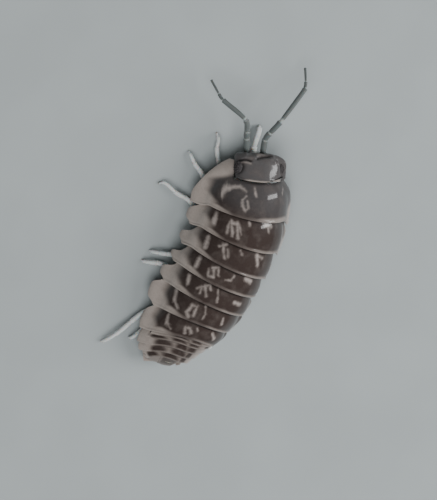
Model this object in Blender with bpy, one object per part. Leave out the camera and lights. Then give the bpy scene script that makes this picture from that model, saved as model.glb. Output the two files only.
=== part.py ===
"""Woodlouse of the pill kind, a still life-size model. Metres, +Z up, head towards -Y, its left side at +X.

Everything is set out along the body's middle line: a place is a distance from the front of the head,
a distance to the animal's left and a height above the floor, all in millimetres until a mesh is made.
"""
import math

import bmesh
import bpy
from mathutils import Vector

MM = 0.001

# Where the middle line's turning point lies from the centre of the model's box
BODY_AT = (-1.41, 3.03)

# Body line: arc length from the front of the head to the straight middle, and the turns of head and tail
MIDDLE = 8.44
HEAD_TURN = math.radians(19.0)
HEAD_TURN_LENGTH = 7.0
TAIL_TURN = math.radians(10.0)
TAIL_TURN_FROM = 2.5
TAIL_TURN_LENGTH = 4.0
TAIL_SHIFT = 0.50
TAIL_SHIFT_FROM = 4.4
TAIL_SHIFT_LENGTH = 3.0

# The head sits a little to the animal's right of the body line
HEAD_LEFT = -0.24

# Arch of the back: half an ellipse on each station, over the lower edge of the side plates
EDGE_HEIGHT = 0.85
HALF_WIDTH = 3.17
WIDEST_AT = 7.5
WIDTH_LOSS_FRONT = 0.12
WIDTH_LOSS_REAR = 0.42
ARCH_HEIGHT = 3.15
HIGHEST_AT = 7.9
HEIGHT_LOSS_FRONT = 0.33
HEIGHT_LOSS_REAR = 0.22
FRONT_ROUND_FROM = 4.35
FRONT_ROUND_LENGTH = 3.75
FRONT_ROUND_POWER = 2.0
TAIL_ROUND_FROM = 12.5
TAIL_ROUND_LENGTH = 3.8
TAIL_ROUND_POWER = 2.8
TAIL_FALL_FROM = 11.2
TAIL_FALL_LENGTH = 5.2
LEAST_RISE = 0.10
TAIL_FALL_POWER = 1.4

# Rear edge of each tergite: at the side, how far the middle lies behind it, flare of the side plate,
# how far behind it the next side plate starts, and how far back the side plate's rear corner is drawn
TERGITES = {
    1: (4.35, 0.09, 0.60, 0.06, 0.36),
    2: (6.21, 0.12, 0.34, 0.20, 0.30),
    3: (7.90, 0.11, 0.12, 0.25, 0.22),
    4: (9.35, 0.05, 0.12, 0.14, 0.08),
    5: (10.87, -0.03, 0.30, 0.09, 0.05),
    6: (12.50, -0.19, 0.58, 0.09, 0.05),
    7: (14.12, -0.58, 0.34, 0.15, 0.00),
}

# Front of the collar: on the middle line, at its left and right lobes, where it sweeps forward to them,
# and the distances over which it flares sooner than the other plates
COLLAR_FRONT_MIDDLE = 2.14
COLLAR_FRONT_LEFT = 1.05
COLLAR_FRONT_RIGHT = 1.45
COLLAR_SWEEP_LEFT = (math.radians(40.0), math.radians(58.0))
COLLAR_SWEEP_RIGHT = (math.radians(56.0), math.radians(84.0))
COLLAR_AHEAD = (1.4, 3.4)
COLLAR_FLARE_SOONER = (math.radians(26.0), math.radians(15.0))
COLLAR_RIGHT_FLARE = (1.9, 3.0)
COLLAR_THIN = 0.22
COLLAR_THIN_LENGTH = 0.9
COLLAR_COLUMNS = 44
PLATE_THICKNESS = 0.42
STERNUM_HEIGHT = 1.45
LIP = 0.22
GAP = 0.25
TUCK = 0.42
NOTCH_FROM = math.radians(60.0)
NOTCH_TO = math.radians(80.0)
STEP_FROM = math.radians(73.0)
STEP_TO = math.radians(87.0)
CORNER_FROM = math.radians(58.0)
CORNER_TO = math.radians(80.0)
FLARE_FROM = math.radians(68.0)
FLARE_RIGHT = 0.4
COLUMNS = 24
TERGITE_ROWS = (0.0, 0.10, 0.30, 0.50, 0.72, 0.88, 1.0)
NECK = 0.12
COLLAR_STEP = 0.10
EDGE_ROUND = 0.03
INNER_STEP = 0.06

# Degrees by which the front and rear corners of each side plate are rounded off, and the share of its
# length over which the front one is
CORNERS = {
    1: (26.0, 3.0, 0.70),
    2: (12.0, 12.0, 0.50),
    3: (22.0, 12.0, 0.55),
    4: (22.0, 12.0, 0.55),
    5: (16.0, 12.0, 0.50),
    6: (10.0, 12.0, 0.40),
    7: (10.0, 6.0, 0.40),
}
REAR_CORNER_FROM = 0.7

# Tail segments: rear edge on the middle line and at the side, and how far round the arch they reach
PLEONITES = {
    1: (13.87, 14.24, 55.0),
    2: (14.20, 14.50, 55.0),
    3: (14.55, 15.05, 88.0),
    4: (14.90, 15.62, 86.0),
    5: (15.25, 16.10, 80.0),
}
TAIL_GAP = 0.14
TAIL_STEP = 0.10
TAIL_FLARE = 0.15
PLEONITE_ROWS = 4
TAIL_THICKNESS = 0.28
TAIL_STERNUM_HEIGHT = 1.30
TAIL_END = 16.32

# Head: distance from the front, middle to the left of the head's place, half width, underside, top
HEAD_SECTIONS = (
    (0.26, 0.22, 0.85, 1.70, 2.26),
    (0.31, 0.19, 1.16, 1.56, 2.42),
    (0.42, 0.11, 1.44, 1.34, 2.60),
    (0.62, 0.01, 1.60, 1.24, 2.78),
    (0.95, -0.06, 1.68, 1.20, 2.93),
    (1.35, -0.09, 1.71, 1.20, 3.05),
    (1.68, -0.13, 1.74, 1.24, 3.10),
    (1.86, -0.16, 1.72, 1.34, 3.05),
    (1.97, -0.17, 1.58, 1.55, 2.90),
    (2.01, -0.17, 1.00, 1.85, 2.65),
)
HEAD_RING = 32
HEAD_POWER = 2.8
HEAD_NARROWS_BELOW = 0.30

# Eyes: distance from the front, left eye and right eye to the left of the head's place, height
EYE_DISTANCE = 1.20
EYE_LEFT = {1: 1.44, -1: -1.56}
EYE_HEIGHT = 2.42
EYE_SIZE = (0.24, 0.40, 0.34)
EYE_GAP = 0.10

# Legs: root, then bends and foot, each as tailward, outward and height from the middle of its segment
ROOT_OUT = 1.35
ROOT_GAP = 0.36
FIRST_LEG_AHEAD = 1.07
LEGS_LEFT = {
    1: ((-0.70, 1.70, 0.75), (-1.45, 2.00, 0.48), (-2.54, 2.41, 0.42), (-3.15, 2.42, 0.36), (-3.53, 2.56)),
    2: ((-1.10, 2.25, 0.72), (-2.28, 3.21, 0.45), (-2.81, 3.92, 0.46), (-3.25, 4.35, 0.36), (-3.46, 4.55)),
    3: ((-0.90, 2.35, 0.70), (-1.73, 3.47, 0.41), (-1.92, 4.59, 0.50), (-2.22, 5.55, 0.36), (-2.02, 5.87)),
    4: ((0.35, 2.20, 0.75), (0.60, 2.96, 0.46), (0.79, 3.67, 0.50), (0.95, 4.15, 0.36), (1.02, 4.34)),
    5: ((0.00, 2.30, 0.68), (0.05, 3.36, 0.40), (0.22, 3.99, 0.50), (0.36, 4.35, 0.36), (0.42, 4.52)),
    6: ((0.95, 2.05, 0.70), (2.21, 2.98, 0.45), (3.90, 3.82, 0.50), (4.75, 4.32, 0.36), (5.02, 4.48)),
    7: ((0.70, 1.85, 0.70), (1.40, 2.45, 0.45), (1.95, 2.75, 0.46), (2.35, 2.98, 0.36), (2.50, 3.10)),
}
LEGS_RIGHT = {
    1: ((-0.80, 1.05, 0.62), (-1.80, 0.50, 0.36), (-2.80, 0.10, 0.36), (-4.15, 0.20, 0.34), (-4.45, 0.22)),
    2: ((-0.70, 1.95, 0.72), (-1.35, 2.55, 0.44), (-1.50, 3.00, 0.44), (-1.30, 3.30, 0.34), (-1.15, 3.42)),
    3: ((-0.40, 2.00, 0.74), (-0.85, 2.70, 0.45), (-0.80, 3.10, 0.44), (-0.60, 3.38, 0.34), (-0.48, 3.48)),
    4: ((-0.10, 2.00, 0.74), (-0.20, 2.75, 0.45), (0.00, 3.15, 0.44), (0.15, 3.40, 0.34), (0.22, 3.52)),
    5: ((0.20, 2.00, 0.74), (0.30, 2.75, 0.45), (0.60, 3.10, 0.44), (0.85, 3.30, 0.34), (0.95, 3.42)),
    6: ((0.50, 1.95, 0.72), (1.10, 2.60, 0.45), (1.55, 2.90, 0.44), (1.95, 3.02, 0.34), (2.10, 3.10)),
    7: ((0.45, 1.80, 0.70), (0.95, 2.30, 0.44), (1.20, 2.55, 0.44), (1.42, 2.70, 0.34), (1.50, 2.78)),
}
LEG_RADII = (0.27, 0.27, 0.22, 0.27, 0.21, 0.25, 0.19, 0.20, 0.17, 0.15, 0.14)
LEG_POINTS = 15
FOOT_STRAIGHT = 0.14

# Antennae: places from the front of the head's middle, forward, to the left and height
ANTENNA_LEFT = (
    (-0.05, 0.92, 1.72), (0.42, 1.03, 1.92), (0.88, 1.14, 2.10), (1.25, 1.22, 2.25),
    (2.10, 1.52, 2.42), (3.00, 2.85, 1.95), (3.22, 3.15, 1.80), (3.50, 3.36, 1.60), (4.22, 3.84, 1.05),
)
ANTENNA_RIGHT = (
    (-0.05, -0.24, 1.72), (0.42, -0.19, 1.92), (0.88, -0.20, 2.10), (1.30, -0.40, 2.25),
    (2.20, -0.95, 2.42), (4.10, -2.22, 1.95), (4.45, -2.38, 1.80), (4.80, -2.42, 1.60), (5.55, -2.40, 1.05),
)
ANTENNA_RADII = (0.30, 0.27, 0.29, 0.24, 0.28, 0.23, 0.27, 0.25, 0.24, 0.22, 0.19, 0.18, 0.12)
ANTENNA_POINTS = 26

MOUTH_AT = (0.95, 0.0, 0.90)
MOUTH_SIZE = (0.50, 0.45, 0.14)

GILL_FLAPS = 5
GILL_FROM = 14.05
GILL_PITCH = 0.36
GILL_SIZE = (0.52, 0.42, 0.13)
GILL_OUT = 0.62
GILL_HEIGHT = 0.86
GILL_TILT = math.radians(14.0)

COLOURS = {
    "shell": ((0.075, 0.055, 0.052), 0.35),
    "head": ((0.075, 0.070, 0.070), 0.35),
    "eye": ((0.010, 0.009, 0.010), 0.20),
    "antenna": ((0.130, 0.125, 0.125), 0.45),
    "leg": ((0.500, 0.520, 0.520), 0.45),
    "gill": ((0.620, 0.600, 0.560), 0.40),
}


def smooth(value, low, high):
    """0 below low, 1 above high, and an S between them."""
    t = min(1.0, max(0.0, (value - low) / (high - low)))
    return t * t * (3 - 2 * t)


def heading(distance):
    """Turn of the body line there, from straight tailward."""
    ahead = MIDDLE - distance
    turn = -HEAD_TURN * smooth(ahead, 0.0, HEAD_TURN_LENGTH)
    return turn - TAIL_TURN * smooth(-ahead, TAIL_TURN_FROM, TAIL_TURN_FROM + TAIL_TURN_LENGTH)


def body_line(distance, steps=60):
    """Place of the body line at a distance from the front of the head."""
    x, y = 0.0, 0.0
    step = (distance - MIDDLE) / steps
    for i in range(steps):
        turn = heading(MIDDLE + step * (i + 0.5))
        x += math.sin(turn) * step
        y += math.cos(turn) * step
    behind = distance - MIDDLE
    return x + TAIL_SHIFT * smooth(behind, TAIL_SHIFT_FROM, TAIL_SHIFT_FROM + TAIL_SHIFT_LENGTH), y


def axes_at(distance):
    """Directions to the left and tailward there."""
    turn = heading(distance)
    return Vector((math.cos(turn), -math.sin(turn), 0)), Vector((math.sin(turn), math.cos(turn), 0))


def place(distance, left, height):
    """A point of the model, in millimetres."""
    x, y = body_line(distance)
    turn = heading(distance)
    x += left * math.cos(turn) + BODY_AT[0]
    y += -left * math.sin(turn) + BODY_AT[1]
    return Vector((x, y, height))


def round_off(t, power):
    """Quarter of a superellipse: 1 at t = 0, falling to 0 at t = 1."""
    t = min(1.0, max(0.0, t))
    return (1 - t**power) ** (1 / power)


def half_width(distance):
    if distance < WIDEST_AT:
        span = WIDEST_AT - FRONT_ROUND_FROM
        width = HALF_WIDTH - WIDTH_LOSS_FRONT * ((WIDEST_AT - max(distance, FRONT_ROUND_FROM)) / span) ** 2
        return width * round_off((FRONT_ROUND_FROM - distance) / FRONT_ROUND_LENGTH, FRONT_ROUND_POWER)
    reach = min(distance, TAIL_ROUND_FROM) - WIDEST_AT
    width = HALF_WIDTH - WIDTH_LOSS_REAR * (reach / (TAIL_ROUND_FROM - WIDEST_AT)) ** 2
    return width * round_off((distance - TAIL_ROUND_FROM) / TAIL_ROUND_LENGTH, TAIL_ROUND_POWER)


def arch_height(distance):
    if distance < HIGHEST_AT:
        return ARCH_HEIGHT - HEIGHT_LOSS_FRONT * ((HIGHEST_AT - distance) / (HIGHEST_AT - FRONT_ROUND_FROM)) ** 2
    reach = min(distance, TAIL_FALL_FROM) - HIGHEST_AT
    height = ARCH_HEIGHT - HEIGHT_LOSS_REAR * (reach / (TAIL_FALL_FROM - HIGHEST_AT)) ** 2
    return height * round_off((distance - TAIL_FALL_FROM) / TAIL_FALL_LENGTH, TAIL_FALL_POWER)


def on_arch(distance, angle, inward=0.0, flare=0.0, collar=False):
    """Point of the back: angle 0 on the middle line, +90 degrees at the lower edge of the left side."""
    ahead = 1 - smooth(distance, *COLLAR_AHEAD) if collar else 0.0
    sooner, fuller = COLLAR_FLARE_SOONER
    if angle < 0:
        flare *= -FLARE_RIGHT
        if collar:
            flare *= smooth(distance, *COLLAR_RIGHT_FLARE)
    left = (half_width(distance) - inward) * math.sin(angle)
    left += flare * smooth(abs(angle), FLARE_FROM - sooner * ahead, math.pi / 2 - fuller * ahead)
    height = EDGE_HEIGHT + max(arch_height(distance) - inward, LEAST_RISE) * math.cos(angle)
    return distance, left, height


def under_arch(distance, angle, inward, floor, flare=0.0, collar=False):
    """The same point on the inside, cut off at the height of the sternum."""
    distance, left, height = on_arch(distance, angle, inward, flare, collar)
    return distance, left, min(height, floor)


def tergite_edge(number, angle):
    """Rear edge of a tergite."""
    side, bow, _, _, corner = TERGITES[number]
    return side + bow * math.cos(angle) ** 2 + corner * smooth(abs(angle), CORNER_FROM, CORNER_TO)


def collar_front(angle):
    """Front edge of the first tergite, which sweeps forward beside the head."""
    lobe = COLLAR_FRONT_LEFT if angle > 0 else COLLAR_FRONT_RIGHT
    sweep = COLLAR_SWEEP_LEFT if angle > 0 else COLLAR_SWEEP_RIGHT
    return COLLAR_FRONT_MIDDLE + (lobe - COLLAR_FRONT_MIDDLE) * smooth(abs(angle), *sweep)


def new_object(name, mesh, finish):
    mesh.materials.append(material(finish))
    thing = bpy.data.objects.new(name, mesh)
    woodlouse.objects.link(thing)
    return thing


def material(finish):
    made = bpy.data.materials.get(finish)
    if made is None:
        made = bpy.data.materials.new(finish)
        made.use_nodes = True
        colour, roughness = COLOURS[finish]
        shader = made.node_tree.nodes["Principled BSDF"]
        shader.inputs["Base Color"].default_value = (*colour, 1.0)
        shader.inputs["Roughness"].default_value = roughness
        shader.inputs["Metallic"].default_value = 0.0
    return made


def closed_mesh(name, points, faces):
    """Mesh in metres from places in millimetres, its faces turned outwards."""
    mesh = bpy.data.meshes.new(name)
    mesh.from_pydata(points, [], faces)
    work = bmesh.new()
    work.from_mesh(mesh)
    bmesh.ops.recalc_face_normals(work, faces=work.faces[:])
    bmesh.ops.scale(work, vec=(MM, MM, MM), verts=work.verts[:])
    work.to_mesh(mesh)
    work.free()
    mesh.shade_smooth()
    mesh.set_sharp_from_angle(angle=math.radians(35))
    return mesh


def ball(name, centre, size, axes, tilt=0.0):
    """Flattened ball: its size to the left, tailward and up, with the tailward end tilted down."""
    mesh = bpy.data.meshes.new(name)
    work = bmesh.new()
    bmesh.ops.create_uvsphere(work, u_segments=16, v_segments=8, radius=1.0)
    for vertex in work.verts:
        left, along, up = (vertex.co[i] * size[i] for i in range(3))
        up -= along * math.tan(tilt)
        spot = centre + axes[0] * left + axes[1] * along + Vector((0, 0, up))
        vertex.co = spot * MM
    work.to_mesh(mesh)
    work.free()
    mesh.shade_smooth()
    return mesh


def shell(name, outside, inside, finish):
    """Closed plate lofted between two grids of places with the same rows and columns."""
    rows, columns = len(outside), len(outside[0])
    count = rows * columns
    points = [place(*spot) for grid in (outside, inside) for row in grid for spot in row]
    faces = []

    def quad(a, b, c, d):
        faces.append((a, b, c))
        faces.append((a, c, d))

    for r in range(rows - 1):
        for c in range(columns - 1):
            i = r * columns + c
            quad(i, i + columns, i + columns + 1, i + 1)
            j = i + count
            quad(j, j + 1, j + columns + 1, j + columns)
    rim = list(range(columns))
    rim += [r * columns + columns - 1 for r in range(1, rows)]
    rim += [(rows - 1) * columns + c for c in range(columns - 2, -1, -1)]
    rim += [r * columns for r in range(rows - 2, 0, -1)]
    for a, b in zip(rim, rim[1:] + rim[:1]):
        quad(a, b, b + count, a + count)
    return new_object(name, closed_mesh(name, points, faces), finish)


def angles(reach, columns=COLUMNS):
    """Angles across the arch, closer together towards the side plates."""
    spread = []
    for k in range(columns + 1):
        u = 2 * k / columns - 1
        spread.append(math.copysign(reach * (1 - (1 - abs(u)) ** 1.15), u))
    return spread


def side_plate_reach(along, first, last, rounding):
    """How far round the arch a side plate goes: less at its front and rear corners."""
    cut = first * (1 - smooth(along, 0.0, rounding)) + last * smooth(along, REAR_CORNER_FROM, 1.0)
    return math.radians(90 - cut)


def pereonite(number):
    """A tergite with its side plates: a neck under the plate in front, a lip over the next one."""
    collar = number == 1
    columns = COLLAR_COLUMNS if collar else COLUMNS
    form = (TERGITES[number][2], collar)
    outside, inside = [], []
    for row, along in enumerate(TERGITE_ROWS):
        outer_row, inner_row = [], []
        for angle in angles(side_plate_reach(along, *CORNERS[number]), columns):
            steep = abs(angle)
            rear = tergite_edge(number, angle)
            notch = smooth(steep, NOTCH_FROM, NOTCH_TO)
            step = (LIP + GAP) * (1 - smooth(steep, STEP_FROM, STEP_TO))
            if collar:
                front = collar_front(angle)
                shoulder = front + NECK
                step = COLLAR_STEP
            else:
                last = tergite_edge(number - 1, angle)
                opening = TERGITES[number - 1][3]
                front = last - TUCK * (1 - notch) + opening * notch
                shoulder = max(last + 0.04, front + NECK)
            lip_from = rear - TUCK - GAP
            if row == 0:
                station = front
            else:
                station = shoulder + (rear - shoulder) * (along - TERGITE_ROWS[1]) / (1 - TERGITE_ROWS[1])
            sunk = step * (1 - smooth(along, 0.05, 0.80))
            if along == 1.0:
                sunk += EDGE_ROUND
            outer_row.append(on_arch(station, angle, sunk, *form))
            if row < 5:
                under = front + (lip_from - 2 * INNER_STEP - front) * row / 3
                if row == 4:
                    under = lip_from - INNER_STEP
                hollow = sunk + PLATE_THICKNESS
                if collar:
                    thicker = smooth(under - front, 0.0, COLLAR_THIN_LENGTH)
                    hollow = sunk + COLLAR_THIN + (PLATE_THICKNESS - COLLAR_THIN) * thicker
                inner_row.append(under_arch(under, angle, hollow, STERNUM_HEIGHT, *form))
            else:
                thin = LIP + (PLATE_THICKNESS - LIP) * smooth(steep, NOTCH_FROM, NOTCH_TO)
                under = lip_from if row == 5 else rear
                inner_row.append(on_arch(under, angle, thin, *form))
        outside.append(outer_row)
        inside.append(inner_row)
    return shell(f"pereonite_{number}", outside, inside, "shell")


def pleonite_edge(number, angle):
    middle, side = PLEONITES[number][:2]
    return middle + (side - middle) * math.sin(angle) ** 2


def pleonite(number):
    """One narrow tail segment, cut from the dome with a thin gap on each side."""
    reach = math.radians(PLEONITES[number][2])
    outside, inside = [], []
    for row in range(PLEONITE_ROWS):
        along = row / (PLEONITE_ROWS - 1)
        outer_row, inner_row = [], []
        for angle in angles(reach):
            if number == 1:
                front = tergite_edge(7, angle)
            else:
                front = pleonite_edge(number - 1, angle)
            if number == 3:
                beside = smooth(abs(angle), math.radians(61), math.radians(72))
                front += (tergite_edge(7, angle) - front) * beside
            front += TAIL_GAP
            station = front + (pleonite_edge(number, angle) - front) * along
            sunk = EDGE_ROUND + TAIL_STEP * (1 - along)
            outer_row.append(on_arch(station, angle, sunk, TAIL_FLARE))
            hollow = sunk + TAIL_THICKNESS
            inner_row.append(under_arch(station, angle, hollow, TAIL_STERNUM_HEIGHT, TAIL_FLARE))
        outside.append(outer_row)
        inside.append(inner_row)
    return shell(f"pleonite_{number}", outside, inside, "shell")


def tail_plate(name, inner_edge, outer_edge, ahead, behind, thickness, rows=5, columns=6):
    """A plate on the dome between two lengthwise edges given as functions of how far back they are."""
    outside, inside = [], []
    for r in range(rows):
        outer_row, inner_row = [], []
        for c in range(columns):
            across = c / (columns - 1)
            front, rear = ahead(across), behind(across)
            distance = front + (rear - front) * r / (rows - 1)
            back = r / (rows - 1)
            left = inner_edge(back) + (outer_edge(back) - inner_edge(back)) * across
            width = max(half_width(distance), 0.4)
            share = min(0.97, abs(left) / (width + 0.15))
            height = EDGE_HEIGHT + (arch_height(distance) - 0.05) * math.sqrt(1 - share * share)
            outer_row.append((distance, left, height))
            inner_row.append((distance, left, max(EDGE_HEIGHT - 0.1, height - thickness)))
        outside.append(outer_row)
        inside.append(inner_row)
    return shell(name, outside, inside, "shell")


def head():
    """Capsule of the head: lofted rings, wider above than below, with a socket for each eye."""
    rings = []
    for distance, shift, width, low, high in HEAD_SECTIONS:
        middle, half = (low + high) / 2, (high - low) / 2
        ring = []
        for k in range(HEAD_RING):
            turn = 2 * math.pi * k / HEAD_RING
            c, s = math.cos(turn), math.sin(turn)
            left = width * math.copysign(abs(c) ** (2 / HEAD_POWER), c)
            up = math.copysign(abs(s) ** (2 / HEAD_POWER), s)
            if up < 0:
                left *= 1 + HEAD_NARROWS_BELOW * up
            ring.append(place(distance, HEAD_LEFT + shift + left, middle + half * up))
        rings.append(ring)
    points = [p for ring in rings for p in ring]
    faces = [tuple(range(HEAD_RING)), tuple(range(len(points) - HEAD_RING, len(points)))]
    for r in range(len(rings) - 1):
        for k in range(HEAD_RING):
            a, b = r * HEAD_RING + k, r * HEAD_RING + (k + 1) % HEAD_RING
            faces.append((a, b, b + HEAD_RING, a + HEAD_RING))
    made = new_object("head", closed_mesh("head", points, faces), "head")
    for side in (1, -1):
        cutter = eye_ball(f"socket_{side}", side, EYE_GAP, cutters)
        cutter.hide_render = True
        cutter.display_type = "WIRE"
        cut = made.modifiers.new("socket", "BOOLEAN")
        cut.object = cutter
        cut.operation = "DIFFERENCE"
    return made


def eye_ball(name, side, grown, collection):
    """Flattened ball set into the side of the head."""
    size = [side_size + grown for side_size in EYE_SIZE]
    centre = place(EYE_DISTANCE, HEAD_LEFT + EYE_LEFT[side], EYE_HEIGHT)
    mesh = ball(name, centre, size, axes_at(EYE_DISTANCE))
    mesh.materials.append(material("eye"))
    thing = bpy.data.objects.new(name, mesh)
    collection.objects.link(thing)
    return thing


def along_spline(knots, share):
    """Point of a smooth curve through the knots, at a share of its knot count."""
    position = share * (len(knots) - 1)
    i = min(int(position), len(knots) - 2)
    t = position - i
    a, b = knots[max(i - 1, 0)], knots[i]
    c, d = knots[i + 1], knots[min(i + 2, len(knots) - 1)]
    weights = (
        -0.5 * t**3 + t**2 - 0.5 * t,
        1.5 * t**3 - 2.5 * t**2 + 1,
        -1.5 * t**3 + 2 * t**2 + 0.5 * t,
        0.5 * t**3 - 0.5 * t**2,
    )
    return sum((p * w for p, w in zip((a, b, c, d), weights)), Vector((0, 0, 0)))


def blend(values, share):
    """Value at a share of an evenly spaced list."""
    position = share * (len(values) - 1)
    i = min(int(position), len(values) - 2)
    return values[i] + (values[i + 1] - values[i]) * (position - i)


def limb(name, points, radii, finish):
    """Jointed limb: a tube whose radius swells in each article and narrows at each joint."""
    curve = bpy.data.curves.new(name, "CURVE")
    curve.dimensions = "3D"
    curve.bevel_depth = MM
    curve.bevel_resolution = 2
    curve.use_fill_caps = True
    spline = curve.splines.new("POLY")
    spline.points.add(len(points) - 1)
    for knot, point, radius in zip(spline.points, points, radii):
        knot.co = (*(point * MM), 1.0)
        knot.radius = radius
    curve.materials.append(material(finish))
    thing = bpy.data.objects.new(name, curve)
    woodlouse.objects.link(thing)
    return thing


def segment_middle(number):
    """Distance of the middle of a tergite from the front of the head."""
    if number == 1:
        return tergite_edge(1, 0) - FIRST_LEG_AHEAD
    return (tergite_edge(number - 1, 0) + tergite_edge(number, 0)) / 2


def leg(side, number, bends):
    """Walking leg from its root under the sternum to a foot that ends flat on the floor."""
    base = segment_middle(number)
    sign = 1 if side == "left" else -1

    def spot(tailward, outward, height):
        return place(base, sign * outward, height) + axes_at(base)[1] * tailward

    top = STERNUM_HEIGHT - ROOT_GAP
    foot = bends[-1]
    knots = [spot(0.0, ROOT_OUT, top), spot(bends[0][0] * 0.35, ROOT_OUT + 0.08, top - 0.22)]
    knots += [spot(*bend) for bend in bends[:-1]]
    knots.append(spot(*foot, FOOT_STRAIGHT))
    points = [along_spline(knots, k / (LEG_POINTS - 1)) for k in range(LEG_POINTS)]
    radii = [blend(LEG_RADII, k / (LEG_POINTS - 1)) for k in range(LEG_POINTS)]
    points.append(spot(*foot, 0.0))
    radii.append(LEG_RADII[-1])
    return limb(f"leg_{side}_{number}", points, radii, "leg")


def antenna(side, knots):
    """Feeler: five articles with an elbow, then a whip of two."""
    tailward = axes_at(0.0)[1]
    spots = [place(0.0, HEAD_LEFT + left, height) - tailward * forward for forward, left, height in knots]
    points = [along_spline(spots, k / (ANTENNA_POINTS - 1)) for k in range(ANTENNA_POINTS)]
    radii = [blend(ANTENNA_RADII, k / (ANTENNA_POINTS - 1)) for k in range(ANTENNA_POINTS)]
    return limb(f"antenna_{side}", points, radii, "antenna")


def lobe(name, distance, left, height, size, tilt=0.0):
    """Flattened oval flap, tilted down to the rear."""
    return bpy.data.objects.new(name, ball(name, place(distance, left, height), size, axes_at(distance), tilt))


def joined(name, pieces, finish):
    """One closed body from pieces that run into each other."""
    group = bpy.data.collections.new(name + "_pieces")
    bpy.context.scene.collection.children.link(group)
    for piece in pieces[1:]:
        group.objects.link(piece)
    body = pieces[0]
    body.name = name
    body.data.materials.append(material(finish))
    woodlouse.objects.link(body)
    union = body.modifiers.new("union", "BOOLEAN")
    union.operation = "UNION"
    union.operand_type = "COLLECTION"
    union.collection = group
    bpy.context.view_layer.update()
    whole = bpy.data.meshes.new_from_object(body.evaluated_get(bpy.context.evaluated_depsgraph_get()))
    body.modifiers.clear()
    body.data = whole
    for piece in pieces[1:]:
        bpy.data.objects.remove(piece)
    bpy.data.collections.remove(group)
    return body


def gills(side):
    """Five overlapping flaps under the tail, one behind the other."""
    sign = 1 if side == "left" else -1
    flaps = []
    for k in range(GILL_FLAPS):
        narrow = 1 - 0.10 * k
        size = (GILL_SIZE[0] * narrow, GILL_SIZE[1], GILL_SIZE[2])
        at = GILL_FROM + GILL_PITCH * k
        flaps.append(lobe(f"flap_{side}_{k}", at, sign * GILL_OUT * narrow, GILL_HEIGHT, size, GILL_TILT))
    return joined(f"pleopods_{side}", flaps, "gill")


def mouthparts():
    """Pair of jaw-feet that close the mouth from below."""
    distance, _, height = MOUTH_AT
    pair = [lobe(f"mouth_{s}", distance, HEAD_LEFT + s * 0.30, height, MOUTH_SIZE) for s in (1, -1)]
    return joined("mouthparts", pair, "gill")


def clear_scene():
    for thing in list(bpy.data.objects):
        bpy.data.objects.remove(thing)


clear_scene()
woodlouse = bpy.data.collections.new("woodlouse")
bpy.context.scene.collection.children.link(woodlouse)
cutters = bpy.data.collections.new("cutters")
bpy.context.scene.collection.children.link(cutters)

head()
for way, word in ((1, "left"), (-1, "right")):
    eye_ball(f"eye_{word}", way, 0.0, woodlouse)
mouthparts()
antenna("left", ANTENNA_LEFT)
antenna("right", ANTENNA_RIGHT)
for segment in TERGITES:
    pereonite(segment)
    leg("left", segment, LEGS_LEFT[segment])
    leg("right", segment, LEGS_RIGHT[segment])
for segment in PLEONITES:
    pleonite(segment)
tail_plate(
    "telson",
    lambda back: -0.72 + 0.40 * back,
    lambda back: 0.72 - 0.40 * back,
    lambda across: PLEONITES[5][0] + TAIL_GAP + 0.20 * (2 * across - 1) ** 2,
    lambda across: TAIL_END - 0.05,
    0.45,
)
for way, word in ((1, "left"), (-1, "right")):
    tail_plate(
        f"uropod_{word}",
        lambda back, way=way: way * (0.82 - 0.36 * back),
        lambda back, way=way: way * (1.00 + 0.12 * back),
        lambda across: 15.86 + 0.10 * across,
        lambda across: TAIL_END - 0.08 * across,
        0.40,
    )
gills("left")
gills("right")
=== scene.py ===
"""Dresses the woodlouse: glossy plates with pale marks, a faceted eye on each side, jointed legs and feelers,
gills, mouthparts and a soft belly. The body is laid out along its middle line, as in the part's own source.

Pieces are shaped in millimetres, because Blender's edit tools lose their grip on parts of a millimetre when the
unit is a metre, and each is brought to metres as it is finished.
"""
import math
import random
from functools import partial

import bpy
import numpy as np
from mathutils import Matrix, Quaternion, Vector


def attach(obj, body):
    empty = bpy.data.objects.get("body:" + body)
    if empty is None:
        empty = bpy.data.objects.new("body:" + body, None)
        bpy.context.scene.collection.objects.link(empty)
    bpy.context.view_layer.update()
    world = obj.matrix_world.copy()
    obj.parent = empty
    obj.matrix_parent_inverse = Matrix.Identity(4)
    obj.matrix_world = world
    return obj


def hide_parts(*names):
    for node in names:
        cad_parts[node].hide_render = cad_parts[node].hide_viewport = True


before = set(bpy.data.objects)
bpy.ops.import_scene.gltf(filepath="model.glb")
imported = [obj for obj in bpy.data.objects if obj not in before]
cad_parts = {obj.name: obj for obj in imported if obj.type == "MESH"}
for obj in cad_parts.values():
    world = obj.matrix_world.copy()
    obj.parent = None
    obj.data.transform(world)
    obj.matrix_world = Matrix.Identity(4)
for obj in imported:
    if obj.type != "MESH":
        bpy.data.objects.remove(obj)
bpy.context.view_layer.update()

bl_info = {
    "name": "Woodlouse model",
    "version": (1, 0, 0),
    "blender": (4, 5, 0),
    "location": "3D View > Sidebar > Woodlouse",
    "description": "Builds the plates, limbs, eyes and soft parts of a pill woodlouse on its packed frame",
    "category": "Add Mesh",
}

MM = 0.001
MERGE_WITHIN = 0.0005

# Body line: where it starts from the box's centre, its straight middle, and the turns of head and tail
BODY_AT = (-1.41, 3.03)
MIDDLE = 8.44
HEAD_TURN = math.radians(19.0)
HEAD_TURN_LENGTH = 7.0
TAIL_TURN = math.radians(10.0)
TAIL_TURN_FROM = 2.5
TAIL_TURN_LENGTH = 4.0
TAIL_SHIFT = 0.50
TAIL_SHIFT_FROM = 4.4
TAIL_SHIFT_LENGTH = 3.0
HEAD_LEFT = -0.24

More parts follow.
